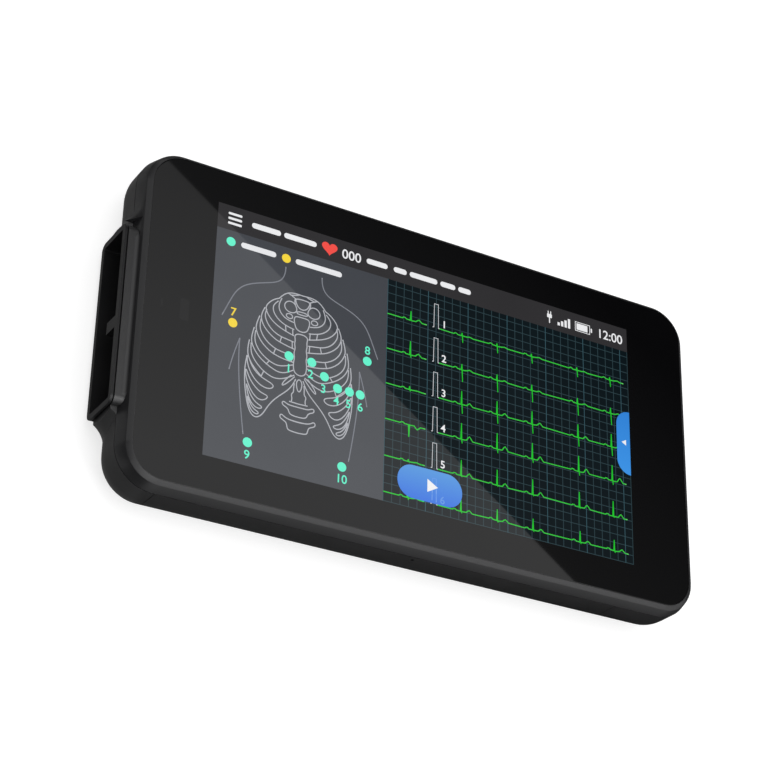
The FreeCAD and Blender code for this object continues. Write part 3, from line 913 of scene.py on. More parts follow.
@dataclass
class Shells:
    """Front shell, rear shell, battery lid and their screws."""

    foot_back: Line = ((-79.5, 17.9), (-79.5, 16.79))
    foot_middle: Point = (-81.208, 18.4)
    foot_radius: float = 1.605
    foot_steps: int = 10
    foot_step_degrees: float = 6.74
    foot_ends: Point = (-24.7, 21.2)
    foot_run: float = 2.0
    foot_drop: float = 0.4
    foot_taper: float = 0.2
    front: Finish = MouldedPlastic(
        "front_shell_satin", rgb(19, 19, 21), rgb(25, 25, 27), (0.30, 0.42), 0.5, 0.2, 0.004, 0.25
    )
    rear: Finish = MouldedPlastic(
        "rear_shell_grain", rgb(22, 22, 23), rgb(30, 30, 31), (0.36, 0.48), 0.5, 0.3, 0.010, 0.4
    )
    lid: Finish = MouldedPlastic(
        "battery_lid_grain", rgb(21, 21, 22), rgb(29, 29, 30), (0.36, 0.48), 0.5, 0.3, 0.010, 0.4
    )
    steel: Finish = BrushedMetal(
        "black_oxide_screw", rgb(70, 70, 74), rgb(44, 44, 48), (0.26, 0.42), (1.0, 1.0, 0.1)
    )

    def collar_foot(self) -> Piece:
        """The front shell's foot, hollowed where its wall runs out onto the dock's collar.

        Returns:
            The foot, which tapers away at its two ends.
        """
        shape = bmesh.new()
        low, high = self.foot_ends
        middle_x, middle_z = self.foot_middle
        profile = []
        for step in range(self.foot_steps + 1):
            turn = math.radians(-90.0 + self.foot_step_degrees * step)
            across, up = self.foot_radius * math.cos(turn), self.foot_radius * math.sin(turn)
            profile.append((middle_x + across, middle_z + up))
        profile += self.foot_back
        face = shape.faces.new([shape.verts.new((x, low, z)) for x, z in profile])
        corner = Matrix.Translation((-self.foot_back[1][0], 0.0, -self.foot_back[1][1]))
        slim = Vector((self.foot_taper, 1.0, self.foot_taper))
        bmesh.ops.scale(shape, vec=slim, space=corner, verts=shape.verts)
        wide = Vector((1.0 / self.foot_taper, 1.0, 1.0 / self.foot_taper))
        bmesh.ops.translate(shape, vec=(0.0, 0.0, -self.foot_drop), verts=shape.verts)
        place = low
        for y, size, rise in (
            (low + self.foot_run, wide, self.foot_drop),
            (high - self.foot_run, None, 0.0),
            (high, slim, -self.foot_drop),
        ):
            grown = bmesh.ops.extrude_face_region(shape, geom=[face], use_keep_orig=rise > 0.0)
            verts = [item for item in grown["geom"] if isinstance(item, bmesh.types.BMVert)]
            face = next(item for item in grown["geom"] if isinstance(item, bmesh.types.BMFace))
            if rise > 0.0:
                bmesh.ops.translate(shape, vec=(0.0, 0.0, rise), verts=verts)
            if size is not None:
                bmesh.ops.scale(shape, vec=size, space=corner, verts=verts)
            bmesh.ops.translate(shape, vec=(0.0, y - place, min(rise, 0.0)), verts=verts)
            place = y
        piece = object_from("collar_foot", shape)
        shade(piece, 25.0)
        return piece

    def make(self, bench: Bench) -> None:
        """Makes the shells and dresses the screws.

        Args:
            bench: The bench that dresses the pieces and ties them down.
        """
        for node, finish, slot in (
            ("front_bezel", self.front, "front_plastic"),
            ("rear_shell", self.rear, "rear_plastic"),
            ("battery_cover", self.lid, "rear_plastic"),
        ):
            piece = merged_copy(bench.frame, node, node + "_skin")
            bench.fit(piece, finish, replaced=(node,))
        bench.fit(self.collar_foot(), self.front)
        for node in ("shell_screws", "cover_screws", "board_screws"):
            bench.dress(node, self.steel)


@dataclass
class CoverGlass:
    """Cover glass, printed black behind, with a polished edge."""

    half_length: float = 78.2
    half_width: float = 42.8
    corner: float = 8.05
    top: float = 18.92
    low: float = 17.82
    edge: float = 0.1
    edge_steps: int = 4
    corner_steps: int = 20
    insets: Point = (0.12, 0.3)
    windows: tuple[tuple[Point, Point, float], ...] = (
        ((-67.9, 1.9), (1.15, 2.9), 0.5),
        ((-73.8, 2.1), (0.28, 0.9), 0.25),
    )
    window_rise: float = 0.004
    window_height: float = 0.005
    print_black: Finish = LacqueredGlass("black_printed_glass", rgb(6, 6, 7))
    smoked: Finish = LacqueredGlass("smoked_print", rgb(18, 18, 19))

    def pane(self) -> Piece:
        """The glass, with its upper edge rounded and its face inset to keep the shading flat.

        Returns:
            The new object.
        """
        sizes = (self.half_length, self.half_width, self.corner)
        shape = slab(*sizes, self.low, self.top, steps=self.corner_steps)
        rim = [
            edge
            for edge in shape.edges
            if all(abs(vert.co.z - self.top) < 1e-4 for vert in edge.verts)
        ]
        round_off(shape, rim, self.edge, self.edge_steps, "EDGES")
        face = max(shape.faces, key=lambda item: item.calc_center_median().z)
        for width in self.insets:
            bmesh.ops.inset_individual(shape, faces=[face], thickness=width, use_even_offset=True)
        piece = object_from("cover_glass_pane", shape)
        shade(piece, 30.0)
        return piece

    def sensor_windows(self) -> Piece:
        """The two faint windows in the glass's left margin.

        Returns:
            The new object.
        """
        shape = bmesh.new()
        foot = self.top + self.window_rise
        for middle, halves, corner in self.windows:
            face = rounded_face(shape, *halves, corner, foot, middle, 8)
            raise_face(shape, face, self.window_height)
        return object_from("sensor_windows", shape)

    def make(self, bench: Bench) -> None:
        """Makes the glass and its windows."""
        bench.fit(self.pane(), self.print_black, replaced=("cover_glass",))
        bench.fit(self.sensor_windows(), self.smoked)


@dataclass
class LeadDock:
    """Dock for the electrode leads: framed mouth, contact block and contacts."""

    frame_black: Finish = MouldedPlastic(
        "dock_frame_satin", rgb(15, 15, 16), rgb(21, 21, 22), (0.34, 0.46), 0.25, 0.22, 0.006, 0.3
    )
    block: Finish = MouldedPlastic(
        "contact_block_nylon",
        rgb(12, 12, 12), rgb(17, 17, 17), (0.42, 0.55), 0.3, 0.18, 0.008, 0.35,
    )
    gold: Finish = BrushedMetal(
        "gold_plating", rgb(222, 178, 96), rgb(196, 150, 74), (0.16, 0.28), (0.1, 1.0, 1.0)
    )

    def make(self, bench: Bench) -> None:
        """Makes the frame and dresses what lies inside it.

        Args:
            bench: The bench that dresses the pieces and ties them down.
        """
        piece = merged_copy(bench.frame, "port_frame", "port_frame_skin")
        bench.fit(piece, self.frame_black, replaced=("port_frame",))
        bench.dress("lead_socket", self.block)
        bench.dress("lead_contacts", self.gold)
        bench.dress("battery_contacts", self.gold)


@dataclass
class SideFittings:
    """Power button with its pad, charging socket, speaker and microphone."""

    button: Finish = MouldedPlastic(
        "button_satin", rgb(30, 30, 32), rgb(37, 37, 39), (0.28, 0.38), 0.5, 0.18, 0.004, 0.25
    )
    rubber: Finish = MouldedPlastic(
        "pad_rubber_matt", rgb(34, 34, 35), rgb(44, 44, 45), (0.74, 0.86), 0.25, 0.12, 0.01, 0.4
    )
    steel: Finish = BrushedMetal(
        "socket_steel", rgb(188, 190, 194), rgb(160, 162, 168), (0.18, 0.30), (0.1, 1.0, 1.0)
    )
    tongue: Finish = MouldedPlastic(
        "tongue_nylon", rgb(26, 26, 27), rgb(33, 33, 34), (0.4, 0.5), 0.4, 0.2, 0.004, 0.3
    )
    sound_hole: Place = (-1.0, -44.53, 13.0)
    gauze_radius: float = 0.445
    gauze_depth: float = 0.1
    gauze: Finish = MouldedPlastic(
        "black_gauze", rgb(3, 3, 3), rgb(9, 9, 9), (0.9, 0.98), 0.05, 0.08, 0.03, 0.8
    )
    cone: Finish = MouldedPlastic(
        "speaker_cone", rgb(40, 40, 42), rgb(54, 54, 57), (0.6, 0.75), 0.3, 0.5, 0.03, 0.5
    )

    def dust_mesh(self) -> Piece:
        """Black gauze disc just inside the microphone's hole.

        Returns:
            The new object.
        """
        place = Matrix.Translation(self.sound_hole) @ Matrix.Rotation(math.pi / 2, 4, "X")
        shape = bmesh.new()
        add_disc(shape, place, self.gauze_radius, self.gauze_depth)
        return object_from("microphone_gauze", shape)

    def make(self, bench: Bench) -> None:
        """Makes the button and the gauze, and dresses the rest.

        Args:
            bench: The bench that dresses the pieces and ties them down.
        """
        cap = merged_copy(bench.frame, "power_button", "power_button_cap")
        bench.fit(cap, self.button, Body.BUTTON, ("power_button",))
        for node, finish in (
            ("button_pad", self.rubber),
            ("power_switch", self.tongue),
            ("usb_socket", self.steel),
            ("usb_tongue", self.tongue),
            ("speaker", self.cone),
            ("microphone", self.steel),
            ("shell_seal", self.rubber),
        ):
            bench.dress(node, finish)
        bench.fit(self.dust_mesh(), self.gauze)


@dataclass
class Insides:
    """Parts under the shells that show only through openings."""

    board: Finish = SolderMask(
        "green_board", rgb(24, 70, 46), rgb(40, 98, 64), rgb(190, 192, 196)
    )
    alloy: Finish = BrushedMetal(
        "die_cast_frame", rgb(150, 152, 156), rgb(126, 128, 132), (0.36, 0.5), (1, 1, 1)
    )
    sheet: Finish = BrushedMetal(
        "shield_sheet", rgb(196, 198, 200), rgb(170, 172, 176), (0.2, 0.34), (0.1, 1, 1)
    )
    tray: Finish = BrushedMetal(
        "tray_sheet", rgb(180, 182, 184), rgb(150, 152, 156), (0.26, 0.4), (1, 0.1, 1)
    )
    chip: Finish = MouldedPlastic(
        "chip_epoxy", rgb(26, 26, 28), rgb(36, 36, 38), (0.5, 0.62), 0.4, 0.1, 0.006, 0.4
    )
    film: Finish = MouldedPlastic(
        "amber_film", rgb(120, 66, 20), rgb(146, 84, 30), (0.24, 0.34), 0.5, 0.9, 0.004, 0.3
    )
    wrap: Finish = MouldedPlastic(
        "battery_wrap", rgb(44, 46, 54), rgb(54, 57, 66), (0.3, 0.42), 0.5, 2.2, 0.03, 0.3
    )
    foam: Finish = MouldedPlastic(
        "tape_foam", rgb(24, 24, 24), rgb(38, 38, 38), (0.8, 0.92), 0.2, 0.15, 0.02, 0.6
    )
    eye: Finish = LacqueredGlass("smoked_window", rgb(14, 12, 16))

    def make(self, bench: Bench) -> None:
        """Dresses each part.

        Args:
            bench: The bench that dresses the pieces and ties them down.
        """
        for finish, nodes in (
            (self.board, ("main_board",)),
            (self.alloy, ("mid_frame",)),
            (self.sheet, ("processor_shield", "ecg_shield")),
            (self.tray, ("backlight_tray",)),
            (self.chip, ("board_chips",)),
            (self.film, ("display_flex", "antenna")),
            (self.wrap, ("battery_pack",)),
            (self.foam, ("glass_tape",)),
            (self.eye, ("sensor_module",)),
        ):
            for node in nodes:
                bench.dress(node, finish)


class Layer(Enum):
    """Heights of the picture's thin sheets: the glass is laminated, so they show at its face."""

    PLATE = 18.928
    LINES = 18.942
    MARKS = 18.956
    TOP = 18.970


# The chest drawing, in millimetres from the body's middle; a half is drawn on both sides of it.
HALF_OUTLINE: tuple[Line, ...] = (
    (
        (5.05, 21.6), (5.05, 19.9), (5.7, 17.5), (8.4, 16.1), (12.4, 14.9), (16.2, 13.2),
        (18.6, 10.3), (19.8, 7.1), (21.4, 3.4),
    ),
    ((16.35, -1.4), (16.5, -5.0), (16.1, -12.6), (14.9, -21.2), (14.1, -26.2)),
    ((16.35, -1.4), (17.3, -4.4), (18.2, -7.6), (18.7, -10.4)),
)

HALF_BONES: tuple[Line, ...] = (
    ((5.7, 12.6), (6.5, 11.0), (6.4, 9.4), (5.6, 8.2), (4.3, 7.2), (2.2, 6.9)),
    ((6.4, 12.4), (5.4, 13.7), (4.2, 14.7), (2.2, 15.1), (0.0, 14.9)),
    ((4.2, 14.6), (3.1, 14.2), (2.1, 13.6)),
    ((3.4, 14.2), (2.1, 14.4), (1.0, 14.9)),
    ((2.0, 13.7), (2.4, 12.7), (1.9, 11.8)),
    ((6.6, 11.6), (7.8, 10.4), (8.1, 9.2), (7.5, 7.6), (5.9, 6.1), (4.2, 5.4), (2.0, 5.0)),
    (
        (6.4, 12.4), (7.8, 11.8), (9.3, 10.3), (10.0, 9.0), (9.6, 7.6), (8.3, 5.9), (6.3, 4.6),
        (4.3, 3.9), (2.0, 3.3),
    ),
    ((9.6, 8.4), (10.2, 7.0), (9.7, 5.2), (8.1, 3.2), (6.0, 2.2), (4.9, 2.0), (2.0, 1.6)),
    ((10.1, 8.8), (11.2, 6.6), (10.9, 4.8), (9.7, 2.9), (7.5, 1.2), (5.7, 0.4), (1.8, -0.3)),
    ((11.0, 5.4), (11.4, 3.4), (10.8, 1.6), (9.3, -0.2), (7.5, -1.3), (5.9, -1.9), (1.8, -2.2)),
    (
        (11.4, 6.1), (12.4, 3.4), (12.2, 1.8), (10.9, -0.6), (8.9, -2.3), (7.1, -3.2), (4.3, -3.8),
        (1.8, -3.9),
    ),
    (
        (12.3, 1.8), (12.6, -0.4), (11.9, -2.4), (10.3, -4.1), (8.5, -5.2), (6.7, -5.9),
        (4.9, -5.9), (1.9, -4.6),
    ),
    (
        (12.7, 2.6), (13.5, -0.4), (13.1, -2.2), (11.7, -4.4), (9.5, -6.1), (6.9, -7.3),
        (5.2, -7.7), (3.5, -7.2), (1.8, -6.0),
    ),
    (
        (13.3, -1.8), (13.4, -3.8), (12.7, -5.6), (11.1, -7.3), (9.7, -8.4), (7.6, -9.4),
        (5.6, -9.5), (3.4, -8.6), (1.4, -7.2),
    ),
    ((13.8, -1.1), (14.3, -4.0), (13.9, -6.0), (12.3, -8.2), (10.2, -9.9)),
    (
        (14.2, -5.4), (14.6, -8.0), (14.6, -10.0), (14.5, -12.6), (13.9, -16.4), (13.1, -19.4),
        (11.9, -20.9), (10.7, -21.0), (9.3, -19.8), (8.3, -17.6), (6.5, -15.0), (4.1, -12.8),
        (1.9, -10.6), (1.0, -8.2),
    ),
    ((1.3, -7.6), (2.6, -9.2), (4.4, -11.0), (4.8, -10.6), (3.6, -8.8), (2.2, -7.4)),
    ((4.4, 5.4), (4.2, 3.9)),
    ((5.3, 2.1), (5.7, 0.5)),
    ((6.8, -1.6), (7.3, -3.2)),
    ((8.3, -5.3), (9.1, -6.4)),
    ((9.6, -8.4), (10.2, -9.9)),
    ((2.4, 4.9), (2.3, 3.4)),
    ((2.4, 1.6), (2.3, -0.2)),
    ((2.4, -2.3), (2.3, -3.9)),
    (
        (1.3, -9.4), (1.5, -10.6), (1.3, -11.8), (1.9, -12.2), (2.0, -12.8), (1.7, -13.6),
        (1.9, -14.3),
    ),
    ((2.5, -14.5), (0.0, -14.6)),
    ((2.3, -19.3), (0.0, -19.4)),
)

HALF_BONE_RINGS: tuple[Line, ...] = (
    (
        (1.7, 11.4), (2.3, 12.3), (3.5, 12.6), (4.7, 11.9), (5.0, 10.8), (4.5, 9.8), (3.3, 9.3),
        (2.0, 9.6), (1.4, 10.4),
    ),
    ((2.6, 8.9), (3.9, 9.1), (4.6, 8.3), (3.7, 7.6), (2.5, 7.8)),
    (
        (13.9, -5.0), (13.1, -7.6), (11.3, -9.6), (9.3, -10.5), (7.5, -11.0), (6.7, -11.6),
        (7.2, -12.4), (8.5, -12.8), (10.5, -12.3), (12.3, -10.8), (13.7, -8.6), (14.3, -6.0),
    ),
    (
        (14.3, -8.6), (13.5, -11.0), (11.9, -13.0), (10.1, -14.3), (8.3, -14.5), (8.2, -15.2),
        (9.3, -16.1), (10.7, -16.2), (12.3, -15.0), (13.7, -12.6), (14.5, -10.0),
    ),
    (
        (14.2, -12.0), (13.3, -14.6), (11.9, -16.8), (10.3, -17.6), (9.5, -17.9), (9.8, -18.4),
        (10.9, -18.6), (12.3, -17.8), (13.5, -15.8),
    ),
    (
        (13.7, -15.4), (12.9, -17.6), (11.7, -19.1), (10.5, -19.4), (10.4, -20.0), (11.3, -20.2),
        (12.5, -19.4), (13.3, -17.6),
    ),
)

MIDDLE_BONES: tuple[Line, ...] = (
    ((0.0, 13.8), (1.0, 13.7), (2.0, 13.6), (1.9, 12.7), (1.3, 11.5), (0.4, 11.0)),
    ((0.0, 10.3), (1.3, 10.3), (1.7, 9.6), (0.0, 9.5)),
    ((0.0, 8.8), (2.0, 8.9), (2.2, 7.6), (1.8, 6.2), (1.4, 5.2), (0.0, 4.8)),
    (
        (0.0, 4.2), (1.2, 4.1), (1.9, 3.4), (1.5, 2.3), (1.8, 1.2), (1.4, 0.0), (1.9, -1.3),
        (1.5, -2.4), (1.8, -3.6), (1.8, -5.4), (1.4, -6.6), (0.0, -7.2),
    ),
    ((0.0, -7.9), (0.7, -8.6), (0.8, -9.8), (0.3, -11.4)),
    (
        (0.0, -15.5), (2.3, -15.5), (3.1, -15.3), (3.9, -14.8), (4.4, -15.2), (4.2, -15.9),
        (3.2, -16.2), (2.5, -16.8), (2.3, -18.0), (0.0, -18.1),
    ),
    (
        (0.0, -19.5), (2.5, -19.3), (3.6, -18.9), (4.3, -18.3), (4.8, -18.7), (4.7, -19.5),
        (3.6, -19.9), (2.9, -20.3), (2.7, -21.8), (2.2, -22.1), (0.0, -22.3),
    ),
)


@dataclass
class ChestChart:
    """Left part of the picture: a generic chest with the ten electrode places."""

    middle: float = -36.75
    line: float = 0.28
    line_step: float = 0.004
    dot: float = 1.22
    digit: float = 2.2
    ground: Finish = LitPixels("picture_slate", rgb(65, 68, 74), rgb(68, 71, 77), ior=1.58)
    bone: Finish = LitPixels("picture_bone", rgb(184, 186, 192))
    skin: Finish = LitPixels("picture_outline", rgb(128, 131, 140))
    teal: Finish = LitPixels("picture_teal", rgb(106, 252, 212))
    amber: Finish = LitPixels("picture_amber", rgb(254, 222, 66))
    white: Finish = LitPixels("picture_white", rgb(240, 241, 244))
    chest_places: Line = (
        (-39.8, -2.5), (-33.6, -2.5), (-30.0, -5.4), (-26.3, -7.6), (-23.0, -7.6), (-20.0, -7.6),
    )
    chest_numbers: Line = (
        (-40.6, -6.9), (-34.6, -6.8), (-31.0, -9.8), (-27.3, -12.0), (-24.0, -12.0), (-20.7, -12.0),
    )
    limb_places: Line = ((-18.3, 2.1), (-49.6, -28.0), (-24.4, -28.0), (-56.95, 24.0))
    limb_numbers: tuple[Mark, ...] = (
        ("8", -19.1, 4.0), ("9", -50.4, -32.2), ("10", -26.0, -32.2),
    )
    loose_places: Line = ((-55.2, 2.1), (-41.8, 24.0))
    loose_numbers: tuple[Mark, ...] = (("7", -56.0, 4.0),)
    key_line: float = 24.0
    key_spans: Line = ((-54.2, -44.6), (-39.2, -26.2))

    def mirrored(self, lines: Iterable[Sequence[Point]]) -> list[list[Point]]:
        """Lines given from the body's middle, drawn on both sides of it.

        Args:
            lines: The lines, each point with its distance from the body's middle.

        Returns:
            Both copies of each line.
        """
        return [
            [(self.middle + side * x, y) for x, y in line] for line in lines for side in (-1, 1)
        ]

    def figure(self, bench: Bench) -> None:
        """Draws the outline of neck, shoulders, arms and waist.

        Args:
            bench: The bench that dresses the pieces and ties them down.
        """
        lines = self.mirrored(HALF_OUTLINE)
        piece = strokes("body_outline", lines, self.line, Layer.LINES.value, smooth=True)
        bench.fit(piece, self.skin)

    def bones(self, bench: Bench) -> None:
        """Draws ribs, breastbone and spine.

        Args:
            bench: The bench that dresses the pieces and ties them down.
        """
        rings = self.mirrored(HALF_BONE_RINGS)
        for half in MIDDLE_BONES:
            other = [(-x, y) for x, y in reversed(half) if x > 0]
            rings.append([(self.middle + x, y) for x, y in (*half, *other)])
        z = Layer.LINES.value
        piece = strokes("bone_rings", rings, self.line, z, smooth=True, closed=True)
        bench.fit(piece, self.bone)
        lines = self.mirrored(HALF_BONES)
        piece = strokes("bone_lines", lines, self.line, z + self.line_step, smooth=True)
        bench.fit(piece, self.bone)

    def places(self, bench: Bench) -> None:
        """Draws the electrode places with plain numbers, and the key above them.

        Args:
            bench: The bench that dresses the pieces and ties them down.
        """
        for name, finish, centres in (
            ("electrode_dots", self.teal, self.chest_places + self.limb_places),
            ("loose_electrode_dots", self.amber, self.loose_places),
        ):
            bench.fit(dots(name, centres, self.dot), finish)
        chest = [(str(index), x, y) for index, (x, y) in enumerate(self.chest_numbers, 1)]
        for name, finish, marks in (
            ("electrode_numbers", self.teal, [*chest, *self.limb_numbers]),
            ("loose_electrode_number", self.amber, self.loose_numbers),
        ):
            bench.fit(digits(name, marks, self.digit, Layer.TOP.value), finish)
        bench.fit(bar_row("key_bars", self.key_spans, self.key_line), self.white)

    def make(self, bench: Bench) -> None:
        """Makes the chart.

        Args:
            bench: The bench that dresses the pieces and ties them down.
        """
        across, up = (-PICTURE_HALF_LENGTH, CHART_END), (-PICTURE_HALF_WIDTH, BAR_FOOT)
        bench.fit(plain_sheet("chart_ground", across, up), self.ground)
        self.figure(bench)
        self.bones(bench)
        self.places(bench)


def plain_sheet(name: str, across: Point, up: Point) -> Piece:
    """Plain rectangle at the picture's lowest level, between two lengths and two heights.

    Args:
        name: Name of the piece.
        across: Its left and right ends.
        up: Its lower and upper sides.

    Returns:
        The new object.
    """
    half_x, half_y = (across[1] - across[0]) / 2, (up[1] - up[0]) / 2
    middle = ((across[1] + across[0]) / 2, (up[1] + up[0]) / 2)
    z = Layer.PLATE.value
    return object_from(name, slab(half_x, half_y, 0.0, z - SHEET / 2, z + SHEET / 2, middle))


def dots(name: str, centres: Iterable[Point], radius: float) -> Piece:
    """Thin round dots as one piece.

    Args:
        name: Name of the piece.
        centres: Middles of the dots.
        radius: Their radius.

    Returns:
        The new object.
    """
    shape = bmesh.new()
    for x, y in centres:
        add_disc(shape, Matrix.Translation((x, y, Layer.MARKS.value)), radius)
    return object_from(name, shape)


def bar_row(name: str, spans: Iterable[Point], y: float) -> Piece:
    """Rounded bars in a row, which stand where a line of words would.

    Args:
        name: Name of the piece.
        spans: Left and right end of each bar.
        y: Where the row lies.

    Returns:
        The new object.
    """
    shape = bmesh.new()
    z = Layer.MARKS.value - SHEET / 2
    half_y, corner = WORD_HEIGHT / 2, WORD_HEIGHT * 0.48
    for start, end in spans:
        middle = ((start + end) / 2, y)
        raise_face(shape, rounded_face(shape, (end - start) / 2, half_y, corner, z, middle, 6))
    return object_from(name, shape)


@dataclass
class TracePanel:
    """Right part of the picture: six heart traces on a grid.

    A wave is the height of its spike, the depth of its dip and the height of what follows. The
    sizes of the button and the tab are half a length, half a width and the corners' radius.
    """

    line: float = 0.30
    pulse_line: float = 0.24
    pulse_height: float = 6.8
    digit: float = 2.0
    number_place: Point = (3.0, 0.6)
    baselines: tuple[float, ...] = (17.2, 7.4, -2.3, -12.0, -21.9, -31.5)
    beats: tuple[float, ...] = (9.05, 19.6, 30.2, 44.4, 54.9)
    old_beat: float = -6.1
    old_end: float = -1.4
    new_start: float = 2.3
    new_end: float = 59.3
    wander: float = 0.08
    waves: tuple[Place, ...] = (
        (0.8, 2.0, 0.25), (1.6, 3.4, 0.4), (3.7, 2.6, 0.8),
        (4.4, 1.1, 1.2), (4.2, 0.4, 1.0), (3.0, 0.5, 0.7),
    )
    old_waves: tuple[Place, ...] = (
        (2.6, 0.2, 0.7), (3.8, 0.8, 0.8), (0.9, 0.5, 0.1),
        (-0.5, 3.3, -0.8), (0.6, 0.1, 0.2), (2.0, 0.6, 0.3),
    )
    button_place: Point = (0.15, -26.95)
    button_size: Place = (9.2, 4.4, 4.3)
    tab_size: Place = (4.2, 9.1, 4.1)
    sign_drop: float = 0.004
    behind_lift: float = 0.009
    pulse_behind: Line = ((0.75, -30.6), (0.8, -24.7), (1.9, -24.7), (1.95, -30.9))
    number_behind: tuple[str, float, float] = ("6", 3.0, -30.9)
    arrows: tuple[tuple[float, float, float, float], ...] = (
        (0.4, -26.95, 2.0, 0.0), (59.1, 0.0, 0.95, math.pi),
    )
    grid: Finish = LitGrid(
        "picture_grid",
        rgb(9, 21, 26), rgb(44, 64, 70), rgb(54, 86, 96), 2.378, 0.20, (-12.95, -33.91),
    )
    green: Finish = LitPixels("picture_green", rgb(34, 202, 46))
    white: Finish = LitPixels("picture_grey_white", rgb(205, 208, 212))
    button: Finish = LitFade("picture_button", rgb(60, 118, 222), rgb(84, 150, 220), (-31.0, -23.0))
    tab: Finish = LitFade("picture_tab", rgb(60, 146, 228), rgb(48, 128, 212), (-9.0, 9.0))
    ghost: Finish = LitPixels("picture_pale_blue", rgb(104, 158, 236))
    bright: Finish = LitPixels("picture_bright", rgb(250, 250, 252))

    def spikes(self) -> Piece:
        """The steep strokes of all heartbeats, as thin blades.

        Returns:
            The new object.
        """
        shape = bmesh.new()
        z = Layer.MARKS.value - SHEET / 2
        for base, wave, old in zip(self.baselines, self.waves, self.old_waves):
            for x, (peak, dip, _) in [(beat, wave) for beat in self.beats] + [(self.old_beat, old)]:
                if peak < 0:
                    corners = [
                        (x - 0.3, base), (x + 0.3, base),
                        (x + 0.14, base - dip), (x - 0.12, base - dip),
                    ]
                else:
                    corners = [
                        (x - 0.34, base), (x - 0.12, base + peak), (x + 0.12, base + peak),
                        (x + 0.24, base), (x + 0.34, base - dip), (x + 0.10, base - dip),
                        (x - 0.08, base),
                    ]
                verts = [shape.verts.new((px, py, z)) for px, py in corners]
                raise_face(shape, shape.faces.new(verts))
        return object_from("trace_spikes", shape)

    def beat(self, x: float, base: float, after: float) -> list[Point]:
        """The low waves of one heartbeat about x, the last one as high as after.

        Args:
            x: Middle of the spike.
            base: Height of the trace's baseline.
            after: Height of the last wave.

        Returns:
            The points, from left to right.
        """
        return [
            (x - 2.5, base), (x - 2.1, base + 0.3), (x - 1.6, base + 0.28), (x - 1.3, base),
            (x + 0.5, base - 0.05), (x + 1.5, base + 0.05), (x + 2.0, base + after * 0.7),
            (x + 2.4, base + after), (x + 2.8, base + after * 0.55), (x + 3.3, base),
        ]

    def traces(self) -> list[list[Point]]:
        """The six traces, each with the old sweep's end before its pulse.

        Returns:
            Two lines for each trace.
        """
        lines = []
        for base, wave, old_wave in zip(self.baselines, self.waves, self.old_waves):
            beat = self.beat(self.old_beat, base, old_wave[2])
            old = [(CHART_END + 0.1, base), *beat, (self.old_end, base)]
            new = [(self.new_start, base)]
            for index, x in enumerate(self.beats):
                wander = self.wander * math.sin(index * 2.1 + base)
                beat = self.beat(x, base, wave[2])
                new += [(px, py + wander * (abs(px - x) > 1)) for px, py in beat]
            lines += [old, new + [(self.new_end, base)]]
        return lines

    def pulse(self, base: float) -> list[Point]:
        """The square calibration pulse of one trace."""
        top = base + self.pulse_height
        return [(0.3, base), (0.65, base + 0.1), (0.75, top), (1.9, top), (2.0, base), (2.3, base)]

    def start_button(self) -> Piece:
        """The drawn start button.

        Returns:
            The new object.
        """
        shape = bmesh.new()
        foot = Layer.MARKS.value - self.sign_drop
        raise_face(shape, rounded_face(shape, *self.button_size, foot, self.button_place, 16))
        return object_from("start_button", shape)

    def side_tab(self) -> Piece:
        """The drawn tab, cut off at the picture's right end.

        Returns:
            The new object.
        """
        shape = bmesh.new()
        foot = Layer.MARKS.value - self.sign_drop
        edge = PICTURE_HALF_LENGTH
        raise_face(shape, rounded_face(shape, *self.tab_size, foot, (edge, 0.0), 16))
        geometry = list(shape.verts) + list(shape.edges) + list(shape.faces)
        cut = bmesh.ops.bisect_plane(
            shape,
            geom=geometry,
            dist=1e-5,
            plane_co=(edge, 0, 0),
            plane_no=(1, 0, 0),
            clear_outer=True,
        )
        rim = [item for item in cut["geom_cut"] if isinstance(item, bmesh.types.BMEdge)]
        bmesh.ops.contextual_create(shape, geom=rim)
        return object_from("side_tab", shape)

    def arrow_marks(self) -> Piece:
        """The triangles on the start button and on the tab.

        Returns:
            The new object.
        """
        shape = bmesh.new()
        for x, y, size, turn in self.arrows:
            spin = Matrix.Rotation(turn - math.pi / 2, 4, "Z")
            add_disc(shape, Matrix.Translation((x, y, Layer.TOP.value)) @ spin, size, steps=3)
        return object_from("arrow_marks", shape)

    def make(self, bench: Bench) -> None:
        """Makes the grid, the traces, their numbers, the start button and the side tab.

        Args:
            bench: The bench that dresses the pieces and ties them down.
        """
        z = Layer.MARKS.value
        behind = z + self.behind_lift
        x, up = self.number_place
        marks = [(str(index), x, base + up) for index, base in enumerate(self.baselines[:5], 1)]
        pulses = [self.pulse(base) for base in self.baselines]
        wide, tall = (CHART_END, PICTURE_HALF_LENGTH), (-PICTURE_HALF_WIDTH, BAR_FOOT)
        for piece, finish in (
            (plain_sheet("trace_ground", wide, tall), self.grid),
            (strokes("heart_traces", self.traces(), self.line, Layer.LINES.value), self.green),
            (self.spikes(), self.green),
            (strokes("pulse_marks", pulses, self.pulse_line, z), self.white),
            (digits("trace_numbers", marks, self.digit, z), self.bright),
            (self.start_button(), self.button),
            (strokes("pulse_behind", [self.pulse_behind], self.pulse_line, behind), self.ghost),
            (digits("number_behind", [self.number_behind], self.digit, behind), self.ghost),
            (self.side_tab(), self.tab),
            (self.arrow_marks(), self.bright),
        ):
            bench.fit(piece, finish)


